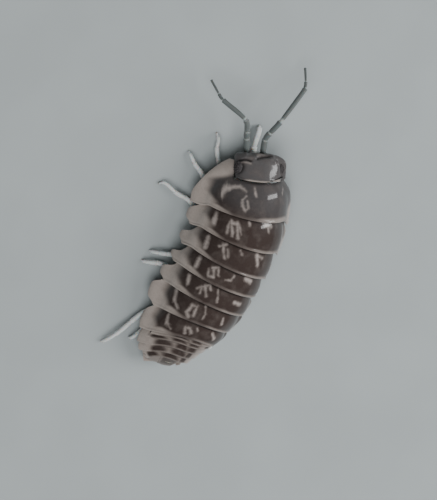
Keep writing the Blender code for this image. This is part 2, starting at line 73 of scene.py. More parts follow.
# Arch of the back: half an ellipse at each place along the body line
EDGE_HEIGHT = 0.85
HALF_WIDTH = 3.17
WIDEST_AT = 7.5
WIDTH_LOSS_FRONT = 0.12
WIDTH_LOSS_REAR = 0.42
ARCH_HEIGHT = 3.15
HIGHEST_AT = 7.9
HEIGHT_LOSS_FRONT = 0.33
HEIGHT_LOSS_REAR = 0.22
FRONT_ROUND_FROM = 4.35
FRONT_ROUND_LENGTH = 3.75
FRONT_ROUND_POWER = 2.0
TAIL_ROUND_FROM = 12.5
TAIL_ROUND_LENGTH = 3.8
TAIL_ROUND_POWER = 2.8
TAIL_FALL_FROM = 11.2
TAIL_FALL_LENGTH = 5.2
TAIL_FALL_POWER = 1.4
LEAST_RISE = 0.10

# Rear edge of each tergite at the side, bow of its middle, flare of its side plate, how far behind it the
# next side plate starts, and how far back the side plate's rear corner is drawn
TERGITES = {
    1: (4.35, 0.09, 0.60, -0.04, 0.36),
    2: (6.21, 0.12, 0.34, 0.20, 0.30),
    3: (7.90, 0.11, 0.12, 0.25, 0.22),
    4: (9.35, 0.05, 0.12, 0.12, 0.08),
    5: (10.87, -0.03, 0.30, 0.00, 0.05),
    6: (12.50, -0.19, 0.58, 0.00, 0.05),
    7: (14.12, -0.58, 0.34, 0.15, 0.00),
}

# Collar: its front on the middle line, its left and right lobes, where it sweeps forward to them, and the
# distances over which it flares sooner than the other plates
COLLAR_FRONT_MIDDLE = 2.02
COLLAR_FRONT_LEFT = 0.92
COLLAR_FRONT_RIGHT = 1.45
COLLAR_SWEEP_LEFT = (math.radians(37.5), math.radians(56.0))
COLLAR_SWEEP_RIGHT = (math.radians(56.0), math.radians(84.0))
COLLAR_AHEAD = (1.4, 3.4)
COLLAR_FLARE_SOONER = (math.radians(26.0), math.radians(15.0))
COLLAR_RIGHT_FLARE = (1.9, 3.0)

# Degrees by which the front and rear corners of each side plate are rounded off, and the share of its
# length over which the front one is
CORNERS = {
    1: (20.0, 3.0, 0.90),
    2: (12.0, 12.0, 0.50),
    3: (22.0, 12.0, 0.55),
    4: (22.0, 12.0, 0.55),
    5: (16.0, 12.0, 0.50),
    6: (10.0, 12.0, 0.40),
    7: (10.0, 6.0, 0.40),
}
REAR_CORNER_FROM = 0.7
CORNER = (math.radians(58.0), math.radians(80.0))
NOTCH = (math.radians(60.0), math.radians(80.0))
STEP = (math.radians(73.0), math.radians(87.0))
FLARE = (math.radians(68.0), math.radians(90.0))
FLARE_RIGHT = 0.4

# Neck of a tergite: how far under the plate ahead it starts, the share of the plate's rows that it takes, its
# least length and how far past the plate ahead it goes, and how the surface rises behind it. Then how deep the
# collar starts, how much every tergite is arched lengthwise, about the share at which it keeps its height, and
# how closely its columns gather towards the side plates
TUCK = 0.42
NECK = 0.10
NECK_LENGTH = 0.12
NECK_PAST = 0.04
RISE_POWER = 1.3
COLLAR_SUNK = 0.04
BULGE = 0.06
BULGE_LEVEL = 0.33
COLUMNS_GATHER = 1.15

# The right half of the body against the left, as it is posed: fuller along the trunk and slimmer at the tail,
# as shares of the width, and the distances over which each comes and goes
RIGHT_FULLER = 0.065
RIGHT_FULLER_FROM = (3.4, 5.4)
RIGHT_FULLER_TO = (10.6, 13.0)
RIGHT_SLIMMER = 0.22
RIGHT_SLIMMER_OVER = (12.6, 15.4)

# Bead along a plate's rear edge and the furrow before it: millimetres from the edge, half width, share of depth
BEAD_AT = 0.07
BEAD_FURROW_AT = 0.20
BEAD_HALF = 0.05
BEAD_FURROW = 0.35

# Rounded edges of a plate: share of its wall, and the angle past which an edge counts as sharp
EDGE_ROUNDED = 0.35
SMALL_EDGE_ROUNDED = 0.10
SHARP = math.radians(50.0)

# Tail segments: rear edge on the middle line, at the left side and at the right, and reach round the arch in
# degrees
PLEONITES = {
    1: (13.82, 14.24, 13.98, 60.0),
    2: (14.14, 14.52, 14.28, 62.0),
    3: (14.62, 15.10, 14.80, 88.0),
    4: (15.16, 15.66, 15.32, 86.0),
    5: (15.60, 16.12, 15.86, 80.0),
}
TAIL_FLARE = 0.15
TAIL_END = 16.32
TAIL_WAVE = 0.08
WAVE_WITHIN = math.radians(45.0)
# Front edge of a tail segment under the one ahead, how deep it lies there and at its rear, its share of a
# tergite's bead, its least length that shows, and where the third one comes out beside the last tergite
RING_TUCK = 0.20
RING_SUNK = 0.17
RING_DEPTH = 0.03
RING_BEAD = 0.5
RING_LEAST = 0.05
RING_BESIDE = (math.radians(61.0), math.radians(72.0))

# End plate and tail feet, with their nodes: left of the middle line at the front and the lean outwards of the
# inner and of the outer edge; distance on the inner side, more on the outer side and bow of the front and of
# the rear edge; how far the plate is lifted off the dome, and the share of pale horn on it
TAIL_PLATES = {
    ("tail_end_plate", "telson"): (
        (-0.64, 0.36), (0.72, -0.08), (15.52, 0.0, 0.12), (16.32, 0.0, -0.06), -0.06, 0.15),
    ("tail_foot_left", "uropod_left"): (
        (0.60, 0.0), (1.78, -0.30), (15.58, 0.25, 0.0), (16.22, 0.18, 0.0), -0.12, 0.50),
    ("tail_foot_right", "uropod_right"): (
        (-1.32, 0.64), (-0.52, 0.28), (15.62, -0.10, 0.0), (15.86, 0.32, 0.0), -0.12, 0.50),
}
# Faces across and along one, how deep it lies in the arch, and the paler horn towards its edges: how much, and
# over which shares
TAIL_PLATE_GRID = (24, 14)
TAIL_PLATE_SUNK = 0.05
TAIL_PLATE_RIM = (0.35, 0.62, 1.0)
# Least width of the dome for them, room beside it, and the share of it at which they stop falling
DOME_LEAST = 0.4
DOME_ROOM = 0.15
DOME_STOP = 0.97

# Head: distance from the front, middle to the left of the head's place, half width, underside, top
HEAD_SECTIONS = (
    (0.25, 0.22, 0.02, 1.96, 2.00),
    (0.26, 0.22, 0.85, 1.70, 2.26),
    (0.31, 0.19, 1.28, 1.56, 2.40),
    (0.42, 0.12, 1.56, 1.34, 2.58),
    (0.62, -0.01, 1.73, 1.24, 2.731),
    (0.95, -0.08, 1.77, 1.20, 2.855),
    (1.35, -0.12, 1.77, 1.20, 2.989),
    (1.68, -0.16, 1.77, 1.24, 3.086),
    (1.86, -0.18, 1.74, 1.34, 3.133),
    (1.97, -0.17, 1.58, 1.55, 2.95),
    (2.01, -0.17, 1.00, 1.85, 2.68),
    (2.02, -0.17, 0.02, 2.23, 2.27),
)
# Segments and rings of the head, the distance whose turn it all has, how square its sections are and how much
# they narrow downwards, and how far left of its place the face lies
HEAD_GRID = (192, 128)
HEAD_TURNED_AT = 0.9
HEAD_POWER = 2.8
HEAD_NARROWS_BELOW = 0.30
FACE_LEFT = 0.25

# Eyes: distance from the front, left eye and right eye to the left of the head's place, height, half sizes
# outward, tailward and up, and segments and rings of the dome
EYE_DISTANCE = 1.20
EYE_LEFT = {1: 1.43, -1: -1.46}
EYE_HEIGHT = {1: 2.42, -1: 2.02}
EYE_SIZE = (0.28, 0.46, 0.38)
EYE_GRID = (48, 32)
# Lenses in rows: rows to each side of the middle one, step along a row and from row to row in radii of a lens,
# and the square of the share of the eye within which they lie
LENS_ROWS = range(-3, 4)
LENS_STEP = (2.05, 1.80)
LENSES_WITHIN = 0.86

# Legs: place of the root, then from it to the next knot the share of the first bend's way tailward, outward and
# up; and how far ahead of the first tergite's edge the first leg stands
ROOT_OUT = 1.35
ROOT_HEIGHT = 1.09
ROOT_BEND = (0.35, 0.08, -0.22)
FIRST_LEG_AHEAD = 1.07
# Bends and foot of each leg, as tailward, outward and height from the middle of its segment
LEGS_LEFT = {
    1: ((-0.70, 1.70, 0.75), (-1.45, 2.00, 0.48), (-2.54, 2.41, 0.42), (-3.15, 2.42, 0.36), (-3.53, 2.56)),
    2: ((-1.10, 2.25, 0.72), (-2.28, 3.21, 0.45), (-2.81, 3.92, 0.46), (-3.25, 4.35, 0.36), (-3.46, 4.55)),
    3: ((-0.90, 2.35, 0.70), (-1.73, 3.47, 0.41), (-1.92, 4.59, 0.50), (-2.22, 5.55, 0.36), (-2.02, 5.87)),
    4: ((0.35, 2.20, 0.75), (0.60, 2.96, 0.46), (0.79, 3.67, 0.50), (0.95, 4.15, 0.36), (1.02, 4.34)),
    5: ((0.00, 2.30, 0.68), (0.05, 3.36, 0.40), (0.22, 3.99, 0.50), (0.36, 4.35, 0.36), (0.42, 4.52)),
    6: ((0.95, 2.05, 0.70), (2.21, 2.98, 0.45), (3.90, 3.82, 0.50), (4.75, 4.32, 0.36), (5.02, 4.48)),
    7: ((0.70, 1.85, 0.70), (1.40, 2.45, 0.45), (1.95, 2.75, 0.46), (2.35, 2.98, 0.36), (2.50, 3.10)),
}
LEGS_RIGHT = {
    1: ((-0.80, 1.05, 0.62), (-1.80, 0.50, 0.36), (-2.80, 0.10, 0.36), (-4.15, 0.20, 0.34), (-4.45, 0.22)),
    2: ((-0.70, 1.95, 0.72), (-1.35, 2.55, 0.44), (-1.50, 2.86, 0.44), (-1.30, 3.05, 0.34), (-1.15, 3.12)),
    3: ((-0.40, 2.00, 0.74), (-0.85, 2.70, 0.45), (-0.80, 2.92, 0.44), (-0.60, 3.10, 0.34), (-0.48, 3.16)),
    4: ((-0.10, 2.00, 0.74), (-0.20, 2.75, 0.45), (0.00, 2.94, 0.44), (0.15, 3.10, 0.34), (0.22, 3.16)),
    5: ((0.20, 2.00, 0.74), (0.30, 2.75, 0.45), (0.60, 2.90, 0.44), (0.85, 3.02, 0.34), (0.95, 3.08)),
    6: ((0.50, 1.95, 0.72), (1.10, 2.60, 0.45), (1.50, 2.66, 0.44), (1.80, 2.74, 0.34), (1.90, 2.80)),
    7: ((0.45, 1.80, 0.70), (0.95, 2.30, 0.44), (1.15, 2.32, 0.44), (1.32, 2.36, 0.34), (1.40, 2.38)),
}
# Articles of a leg from basis to claw: share of the leg where each ends, and its radius. Then the height of the
# foot, how much slimmer an article gets towards its end, and how far the next reaches into it
LEG_ARTICLES = ((0.333, 0.21), (0.45, 0.185), (0.57, 0.18), (0.70, 0.165), (0.90, 0.13), (1.0, 0.075))
FOOT_TIP = 0.10
LEG_SLIMMER = 0.14
LEG_OVERLAP = 0.004
# The first right leg is seen from the side of its broad flat articles
STOUT_LEG = 1.85
# Spines of a leg: shares of it from first to last and how many, turn round it, share of their length,
# thickness
SPINES_AT = (0.40, 0.92, 9)
SPINE_TURN = (-2.4, -0.7)
SPINE_LENGTH = (0.6, 1.1)
SPINE_THICK = 0.016
# Claw: shares of its length and its radius there, how much above the foot it starts and how high it ends, the
# steps of the leg's line that give its direction, and the share of them that it reaches
CLAW = ((0.0, 0.055), (0.35, 0.050), (0.70, 0.032), (1.0, 0.008))
CLAW_RAISED = 0.02
CLAW_TIP = 0.004
CLAW_STEPS = 11
CLAW_REACH = 0.6

# Antennae: forward of the head's front, to the left of its middle, and height
ANTENNA_LEFT = (
    (-0.30, 0.86, 1.66), (0.42, 1.03, 1.92), (0.88, 1.14, 2.10), (1.25, 1.22, 2.25),
    (2.10, 1.52, 2.42), (3.00, 2.85, 1.95), (3.22, 3.15, 1.80), (3.50, 3.36, 1.60), (4.22, 3.84, 1.05),
)
ANTENNA_RIGHT = (
    (-0.30, -0.27, 1.66), (0.42, -0.19, 1.92), (0.88, -0.20, 2.10), (1.30, -0.40, 2.25),
    (2.20, -0.95, 2.42), (4.10, -2.22, 1.95), (4.45, -2.38, 1.80), (4.80, -2.42, 1.60), (5.55, -2.40, 1.05),
)
# Articles of an antenna: where each starts and ends as a share of its length, and its radius
ANTENNA_ARTICLES = (
    (0.00, 0.20, 0.210), (0.205, 0.365, 0.200), (0.37, 0.495, 0.185),
    (0.50, 0.68, 0.165), (0.705, 0.865, 0.110), (0.87, 1.0, 0.080),
)
# Soft skin between them: how far it reaches into each, and its share of their radius. Then the bristles: shares
# of the antenna from first to last and how many, turn round it, length, thickness and lean towards the tip
JOINT_REACH = 0.02
JOINT_RADIUS = 0.72
BRISTLES_AT = (0.25, 0.99, 40)
BRISTLE_TURN = (0, 6.28)
BRISTLE = (0.09, 0.008, 1.2)
# Any bristle or spine: its share of thickness at the tip, the share of the limb's radius at which it stands,
# and the share of its length from there to its middle
BRISTLE_TIP = 0.15
BRISTLE_FOOT = 0.9
BRISTLE_MIDDLE = 0.4

# Marks: ends of each pale stroke, as degrees round the arch and millimetres behind the front edge that shows,
# and its width
STROKES = {
    1: ((46, 1.62, 45, 1.25, 0.40), (45, 1.25, 43, 0.90, 0.42), (43, 0.90, 38, 0.60, 0.36),
        (38, 0.60, 32, 0.43, 0.28), (32, 0.43, 25, 0.39, 0.22), (25, 0.39, 18, 0.47, 0.17),
        (18, 0.47, 13, 0.60, 0.12), (12, 0.91, 17, 1.21, 0.13),
        (17, 1.21, 15, 1.56, 0.21), (15, 1.56, 10, 1.85, 0.20), (10, 1.85, 7, 1.67, 0.15),
        (7, 1.67, 10, 1.19, 0.11), (2, 0.34, -1, 0.81, 0.18), (-56, 0.40, -49, 0.72, 0.12)),
    2: ((47, 0.36, 46, 0.76, 0.34), (46, 0.76, 45, 1.04, 0.46), (24, 0.40, 17, 1.36, 0.19),
        (26, 0.53, 25, 1.30, 0.17), (16, 0.42, 10, 1.37, 0.21), (14, 0.45, 7, 1.08, 0.13),
        (23, 0.56, 15, 0.47, 0.26), (1, 0.13, -1, 0.29, 0.16), (-22, 0.20, -33, 0.22, 0.28),
        (-27, 0.30, -29, 0.52, 0.20), (-68, 0.35, -65, 0.90, 0.24)),
    3: ((45, 0.33, 44, 0.74, 0.30), (44, 0.74, 43, 1.08, 0.40), (27, 0.55, 19, 0.18, 0.17),
        (24, 0.32, 15, 1.12, 0.19), (16, 0.49, 12, 0.94, 0.15), (0, 0.23, -3, 0.41, 0.13),
        (-24, 0.19, -29, 0.77, 0.28), (-26, 0.28, -34, 0.33, 0.20), (-68, 0.35, -65, 0.90, 0.24)),
    4: ((43, 0.36, 42, 0.87, 0.36), (26, 0.62, 23, 1.00, 0.17), (23, 1.00, 16, 0.90, 0.17),
        (12, 0.66, 16, 0.21, 0.16), (16, 0.21, 23, 0.40, 0.17), (20, 0.49, 17, 0.84, 0.16),
        (2, 0.74, -5, 0.62, 0.12), (-5, 0.62, -7, 0.27, 0.12), (-24, 0.18, -33, 0.28, 0.37),
        (-68, 0.32, -65, 0.85, 0.24)),
    5: ((45, 0.30, 42, 0.76, 0.32), (28, 0.71, 24, 0.49, 0.15), (24, 0.49, 15, 0.08, 0.17),
        (24, 0.49, 22, 0.90, 0.17), (21, 0.30, 13, 0.89, 0.19), (15, 0.14, 12, 0.38, 0.15),
        (3, 0.14, -3, 0.95, 0.11), (-26, 0.58, -37, 0.59, 0.28), (-68, 0.26, -65, 0.76, 0.24)),
    6: ((55, 0.05, 49, 0.75, 0.32), (49, 0.75, 40, 1.07, 0.21), (24, 0.46, 26, 0.98, 0.26),
        (26, 0.98, 22, 1.22, 0.26), (16, 1.03, 17, 0.41, 0.21), (24, 0.46, 17, 0.41, 0.16),
        (7, 0.12, 2, 0.62, 0.13), (2, 0.62, 3, 0.99, 0.12), (-25, 0.45, -28, 0.87, 0.20),
        (-68, 0.15, -65, 0.80, 0.24)),
    7: ((50, 0.19, 45, 0.65, 0.26), (45, 0.65, 35, 0.94, 0.17), (18, 0.51, 14, 0.91, 0.22),
        (11, 0.47, 6, 0.76, 0.21), (18, 0.53, 11, 0.47, 0.16), (1, 0.29, -1, 0.48, 0.12),
        (-26, 0.35, -35, 0.71, 0.28), (-68, 0.25, -65, 0.75, 0.22)),
}
MM_PER_DEGREE = 0.0575

# Dark patches of each tail segment, from one angle round the arch to another, in degrees
TAIL_PATCHES = {
    1: ((23, 2), (-5, -22)),
    2: ((58, 31), (22, 0), (-6, -25), (-42, -50)),
    3: ((45, 17), (10, -8), (-11, -29)),
    4: ((46, 20), (11, -19), (-24, -33)),
    5: ((57, 29), (22, -14), (-23, -35)),
}


# Shape of the body

def smooth(value, low, high):
    """0 below low, 1 above high, and an S between them."""
    share = np.clip((value - low) / (high - low), 0.0, 1.0)
    return share * share * (3 - 2 * share)


def grown(value, amount, low, high):
    """0 below low, the amount above high, and an S between them."""
    return amount * smooth(value, low, high)


def ridge(gap, half):
    """Cross-section of a ridge: 1 at its crest, falling away over its half width."""
    return np.exp(-((gap / half) ** 2))


def heading(distance):
    """Turn of the body line there, from straight tailward."""
    ahead = MIDDLE - distance
    turn = -HEAD_TURN * smooth(ahead, 0.0, HEAD_TURN_LENGTH)
    return turn - TAIL_TURN * smooth(-ahead, TAIL_TURN_FROM, TAIL_TURN_FROM + TAIL_TURN_LENGTH)


def traced_line(step=0.01):
    """Body line as distances and the places they reach, summed in small steps from its straight middle."""
    distances = np.arange(-1.0, 18.0, step)
    turn = heading(distances[:-1] + step / 2)
    x = np.concatenate([[0.0], np.cumsum(np.sin(turn) * step)])
    y = np.concatenate([[0.0], np.cumsum(np.cos(turn) * step)])
    x += TAIL_SHIFT * smooth(distances - MIDDLE, TAIL_SHIFT_FROM, TAIL_SHIFT_FROM + TAIL_SHIFT_LENGTH)
    x += BODY_AT[0] - np.interp(MIDDLE, distances, x)
    y += BODY_AT[1] - np.interp(MIDDLE, distances, y)
    return distances, x, y


LINE = traced_line()


def place(distance, left, height):
    """Points of the model in millimetres, as rows."""
    distance, left, height = np.broadcast_arrays(distance, left, height)
    turn = heading(distance)
    x = np.interp(distance, LINE[0], LINE[1]) + left * np.cos(turn)
    y = np.interp(distance, LINE[0], LINE[2]) - left * np.sin(turn)
    return np.stack([x, y, height], axis=-1)


def tailward_at(distance):
    turn = float(heading(distance))
    return np.array([math.sin(turn), math.cos(turn), 0.0])


def leftward_at(distance):
    turn = float(heading(distance))
    return np.array([math.cos(turn), -math.sin(turn), 0.0])


def standing(offsets, centre, distance):
    """Points given to the left, tailward and up from a centre, turned as the body line is at a distance."""
    sideways = centre + offsets[:, :1] * leftward_at(distance)
    return sideways + offsets[:, 1:2] * tailward_at(distance) + offsets[:, 2:] * (0, 0, 1)


def round_off(share, power):
    """Quarter of a superellipse: 1 at 0, falling to 0 at 1."""
    return (1 - np.clip(share, 0.0, 1.0) ** power) ** (1 / power)


def half_width(distance):
    ahead = (WIDEST_AT - np.maximum(distance, FRONT_ROUND_FROM)) / (WIDEST_AT - FRONT_ROUND_FROM)
    front = HALF_WIDTH - WIDTH_LOSS_FRONT * ahead**2
    front *= round_off((FRONT_ROUND_FROM - distance) / FRONT_ROUND_LENGTH, FRONT_ROUND_POWER)
    behind = (np.minimum(distance, TAIL_ROUND_FROM) - WIDEST_AT) / (TAIL_ROUND_FROM - WIDEST_AT)
    rear = HALF_WIDTH - WIDTH_LOSS_REAR * behind**2
    rear *= round_off((distance - TAIL_ROUND_FROM) / TAIL_ROUND_LENGTH, TAIL_ROUND_POWER)
    return np.where(distance < WIDEST_AT, front, rear)


def arch_height(distance):
    front = ARCH_HEIGHT - HEIGHT_LOSS_FRONT * ((HIGHEST_AT - distance) / (HIGHEST_AT - FRONT_ROUND_FROM)) ** 2
    behind = (np.minimum(distance, TAIL_FALL_FROM) - HIGHEST_AT) / (TAIL_FALL_FROM - HIGHEST_AT)
    rear = ARCH_HEIGHT - HEIGHT_LOSS_REAR * behind**2
    rear *= round_off((distance - TAIL_FALL_FROM) / TAIL_FALL_LENGTH, TAIL_FALL_POWER)
    return np.where(distance < HIGHEST_AT, front, rear)


def right_side(distance):
    """Width of the right half against the left."""
    fuller = RIGHT_FULLER * smooth(distance, *RIGHT_FULLER_FROM) * (1 - smooth(distance, *RIGHT_FULLER_TO))
    return 1 + fuller - RIGHT_SLIMMER * smooth(distance, *RIGHT_SLIMMER_OVER)


def on_arch(distance, angle, inward=0.0, flare=0.0, collar=False):
    """Points of the back: angle 0 on the middle line, +90 degrees at the lower edge of the left side."""
    ahead = (1 - smooth(distance, *COLLAR_AHEAD)) * collar
    right = -flare * FLARE_RIGHT * (smooth(distance, *COLLAR_RIGHT_FLARE) if collar else 1.0)
    sooner, earlier = COLLAR_FLARE_SOONER
    spread = smooth(np.abs(angle), FLARE[0] - sooner * ahead, FLARE[1] - earlier * ahead)
    left = (half_width(distance) - inward) * np.sin(angle) + np.where(angle > 0, flare, right) * spread
    left = left * np.where(angle < 0, right_side(distance), 1.0)
    height = EDGE_HEIGHT + np.maximum(arch_height(distance) - inward, LEAST_RISE) * np.cos(angle)
    return place(distance, left, height)


def tergite_edge(number, angle):
    """Rear edge of a tergite."""
    side, bow, _, _, corner = TERGITES[number]
    return side + bow * np.cos(angle) ** 2 + corner * smooth(np.abs(angle), *CORNER)


def collar_front(angle):
    """Front edge of the first tergite, which sweeps forward beside the head."""
    left = smooth(angle, *COLLAR_SWEEP_LEFT) * (COLLAR_FRONT_LEFT - COLLAR_FRONT_MIDDLE)
    right = smooth(-angle, *COLLAR_SWEEP_RIGHT) * (COLLAR_FRONT_RIGHT - COLLAR_FRONT_MIDDLE)
    return COLLAR_FRONT_MIDDLE + left + right


def pleonite_edge(number, angle):
    """Rear edge of a tail segment, with a wave across its middle."""
    middle, left, right, _ = PLEONITES[number]
    wave = TAIL_WAVE * np.sin(math.pi * np.clip(angle, -WAVE_WITHIN, WAVE_WITHIN) / WAVE_WITHIN)
    return middle + (np.where(angle > 0, left, right) - middle) * np.sin(angle) ** 2 - wave


# Curves

def through(knots, share):
    """Points on a smooth curve through the knots, at shares of their count."""
    knots = np.asarray(knots, float)
    position = np.clip(np.asarray(share, float), 0.0, 1.0) * (len(knots) - 1)
    first = np.minimum(position.astype(int), len(knots) - 2)
    t = (position - first)[..., None]
    before = knots[np.maximum(first - 1, 0)]
    after = knots[np.minimum(first + 2, len(knots) - 1)]
    a, b = knots[first], knots[first + 1]
    return (
        before * (-0.5 * t**3 + t**2 - 0.5 * t)
        + a * (1.5 * t**3 - 2.5 * t**2 + 1)
        + b * (-1.5 * t**3 + 2 * t**2 + 0.5 * t)
        + after * (0.5 * t**3 - 0.5 * t**2)
    )


def carried_frames(knots, steps=200):
    """Points along a curve with a pair of sideways directions that turn with it and never twist."""
    shares = np.linspace(0.0, 1.0, steps + 1)
    points = through(knots, shares)
    ahead = np.gradient(points, axis=0)
    ahead /= np.linalg.norm(ahead, axis=1)[:, None]
    up = np.cross(ahead[0], (0.0, 0.0, 1.0))
    sideways = []
    for direction in ahead:
        up = up - direction * up.dot(direction)
        up /= np.linalg.norm(up)
        sideways.append(up)
    sideways = np.array(sideways)
    return shares, points, sideways, np.cross(ahead, sideways)


def carried(frames, at):
    """Point and both sideways directions of a carried frame, at shares of the curve."""
    shares, *rows = frames
    return [np.stack([np.interp(at, shares, row[:, i]) for i in range(3)], axis=-1) for row in rows]


def stroke_depth(across, along, strokes):
    """How deep each point lies in the nearest stroke, negative outside, all in millimetres."""
    depth = np.full(len(across), -9.0)
    for x0, y0, x1, y1, width in strokes:
        dx, dy = x1 - x0, y1 - y0
        share = np.clip(((across - x0) * dx + (along - y0) * dy) / max(dx * dx + dy * dy, 1e-9), 0.0, 1.0)
        gap = np.hypot(across - x0 - share * dx, along - y0 - share * dy)
        depth = np.maximum(depth, width / 2 - gap)
    return depth


# Blender's tools, called as by hand

def deselect():
    if bpy.context.object and bpy.context.object.mode != "OBJECT":
        bpy.ops.object.mode_set(mode="OBJECT")
    bpy.ops.object.select_all(action="DESELECT")


def only(piece):
    deselect()
    piece.select_set(True)
    bpy.context.view_layer.objects.active = piece


def corners(piece):
    spots = np.empty(len(piece.data.vertices) * 3)
    piece.data.vertices.foreach_get("co", spots)
    return spots.reshape(-1, 3)


def set_corners(piece, spots):
    piece.data.vertices.foreach_set("co", np.asarray(spots, float).ravel())
    piece.data.update()


def paint(piece, **layers):
    """Named values on the points of a piece, for its finish to read."""
    for name, values in layers.items():
        layer = piece.data.attributes.get(name) or piece.data.attributes.new(name, "FLOAT", "POINT")
        layer.data.foreach_set("value", np.broadcast_to(values, len(piece.data.vertices)).astype(np.float32))


def applied(piece, kind, **settings):
    only(piece)
    bpy.ops.object.modifier_add(type=kind)
    modifier = piece.modifiers[-1]
    for name, value in settings.items():
        setattr(modifier, name, value)
    bpy.ops.object.modifier_apply(modifier=modifier.name)


def closed(piece):
    """Seams and poles merged, and the faces turned outwards."""
    only(piece)
    bpy.ops.object.mode_set(mode="EDIT")
    bpy.ops.mesh.select_all(action="SELECT")
    bpy.ops.mesh.remove_doubles(threshold=MERGE_WITHIN)
    bpy.ops.mesh.normals_make_consistent(inside=False)
    bpy.ops.object.mode_set(mode="OBJECT")


def joined(pieces):
    deselect()
    for piece in pieces:
        piece.select_set(True)
    bpy.context.view_layer.objects.active = pieces[0]
    if len(pieces) > 1:
        bpy.ops.object.join()
    return bpy.context.object


def copy_of(piece):
    twin = bpy.data.objects.new(piece.name, piece.data.copy())
    bpy.context.scene.collection.objects.link(twin)
    return twin


def finished(piece, name, finishes, slot, *nodes, smooth_angle=40.0):
    """The piece in metres at the origin, with its finish, riding on the body in the place of its nodes."""
    only(piece)
    piece.name = name
    piece.data.name = name
    piece.scale = (MM, MM, MM)
    bpy.ops.object.transform_apply(location=True, rotation=True, scale=True)
    bpy.ops.object.shade_smooth_by_angle(angle=math.radians(smooth_angle))
    piece.data.materials.clear()
    for finish in finishes:
        piece.data.materials.append(finish)
    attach(piece, "root")
    if nodes:
        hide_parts(*nodes)
    return piece


def laid_sheet(columns, rows):
    """A flat grid with its shares across, from -1 to 1, and along, from 0 to 1."""
    deselect()
    bpy.ops.mesh.primitive_grid_add(x_subdivisions=columns, y_subdivisions=rows, size=2)
    sheet = bpy.context.object
    flat = corners(sheet)
    return sheet, flat[:, 0], (flat[:, 1] + 1) / 2


# Finishes

def linear(hex_colour):
    """An sRGB hex colour as the linear values that Blender works in."""
    channels = (int(hex_colour[i:i + 2], 16) / 255 for i in (0, 2, 4))
    return tuple(c / 12.92 if c <= 0.04045 else ((c + 0.055) / 1.055) ** 2.4 for c in channels)


def set_inputs(node, inputs):
    """Inputs of a node, each set to a value or linked from another node's output."""
    for key, value in inputs.items():
        socket = node.inputs[key]
        if isinstance(value, bpy.types.NodeSocket):
            node.id_data.links.new(value, socket)
        elif socket.type == "RGBA":
            socket.default_value = (*value[:3], 1.0)
        else:
            socket.default_value = value


def add_node(tree, kind, inputs, out=0, **settings):
    """One output of a new node with its settings, its inputs set to values or linked from other outputs."""
    made = tree.nodes.new(f"ShaderNode{kind}")
    for name, value in settings.items():
        setattr(made, name, value)
    set_inputs(made, inputs)
    return made.outputs[out]


# Inputs by their place: of a map range, and of a mix of colours
VALUE, LOW, HIGH, TO_LOW, TO_HIGH = range(5)
SHARE, UNDER, OVER = 0, 6, 7
SOFT_STEP = {"interpolation_type": "SMOOTHSTEP"}
BLEND = {"out": 2, "data_type": "RGBA"}
DARKEN = {"out": 2, "data_type": "RGBA", "blend_type": "MULTIPLY"}


def new_finish(name, sockets):
    """A material, the tool that adds its nodes, its shader, and places on the piece in millimetres."""
    finish = bpy.data.materials.new(name)
    finish.use_nodes = True
    shader = finish.node_tree.nodes["Principled BSDF"]
    set_inputs(shader, sockets)
    add = partial(add_node, finish.node_tree)
    spot = add("Mapping", {"Vector": add("TexCoord", {}, "Object"), "Scale": (1 / MM,) * 3})
    return finish, add, shader, spot


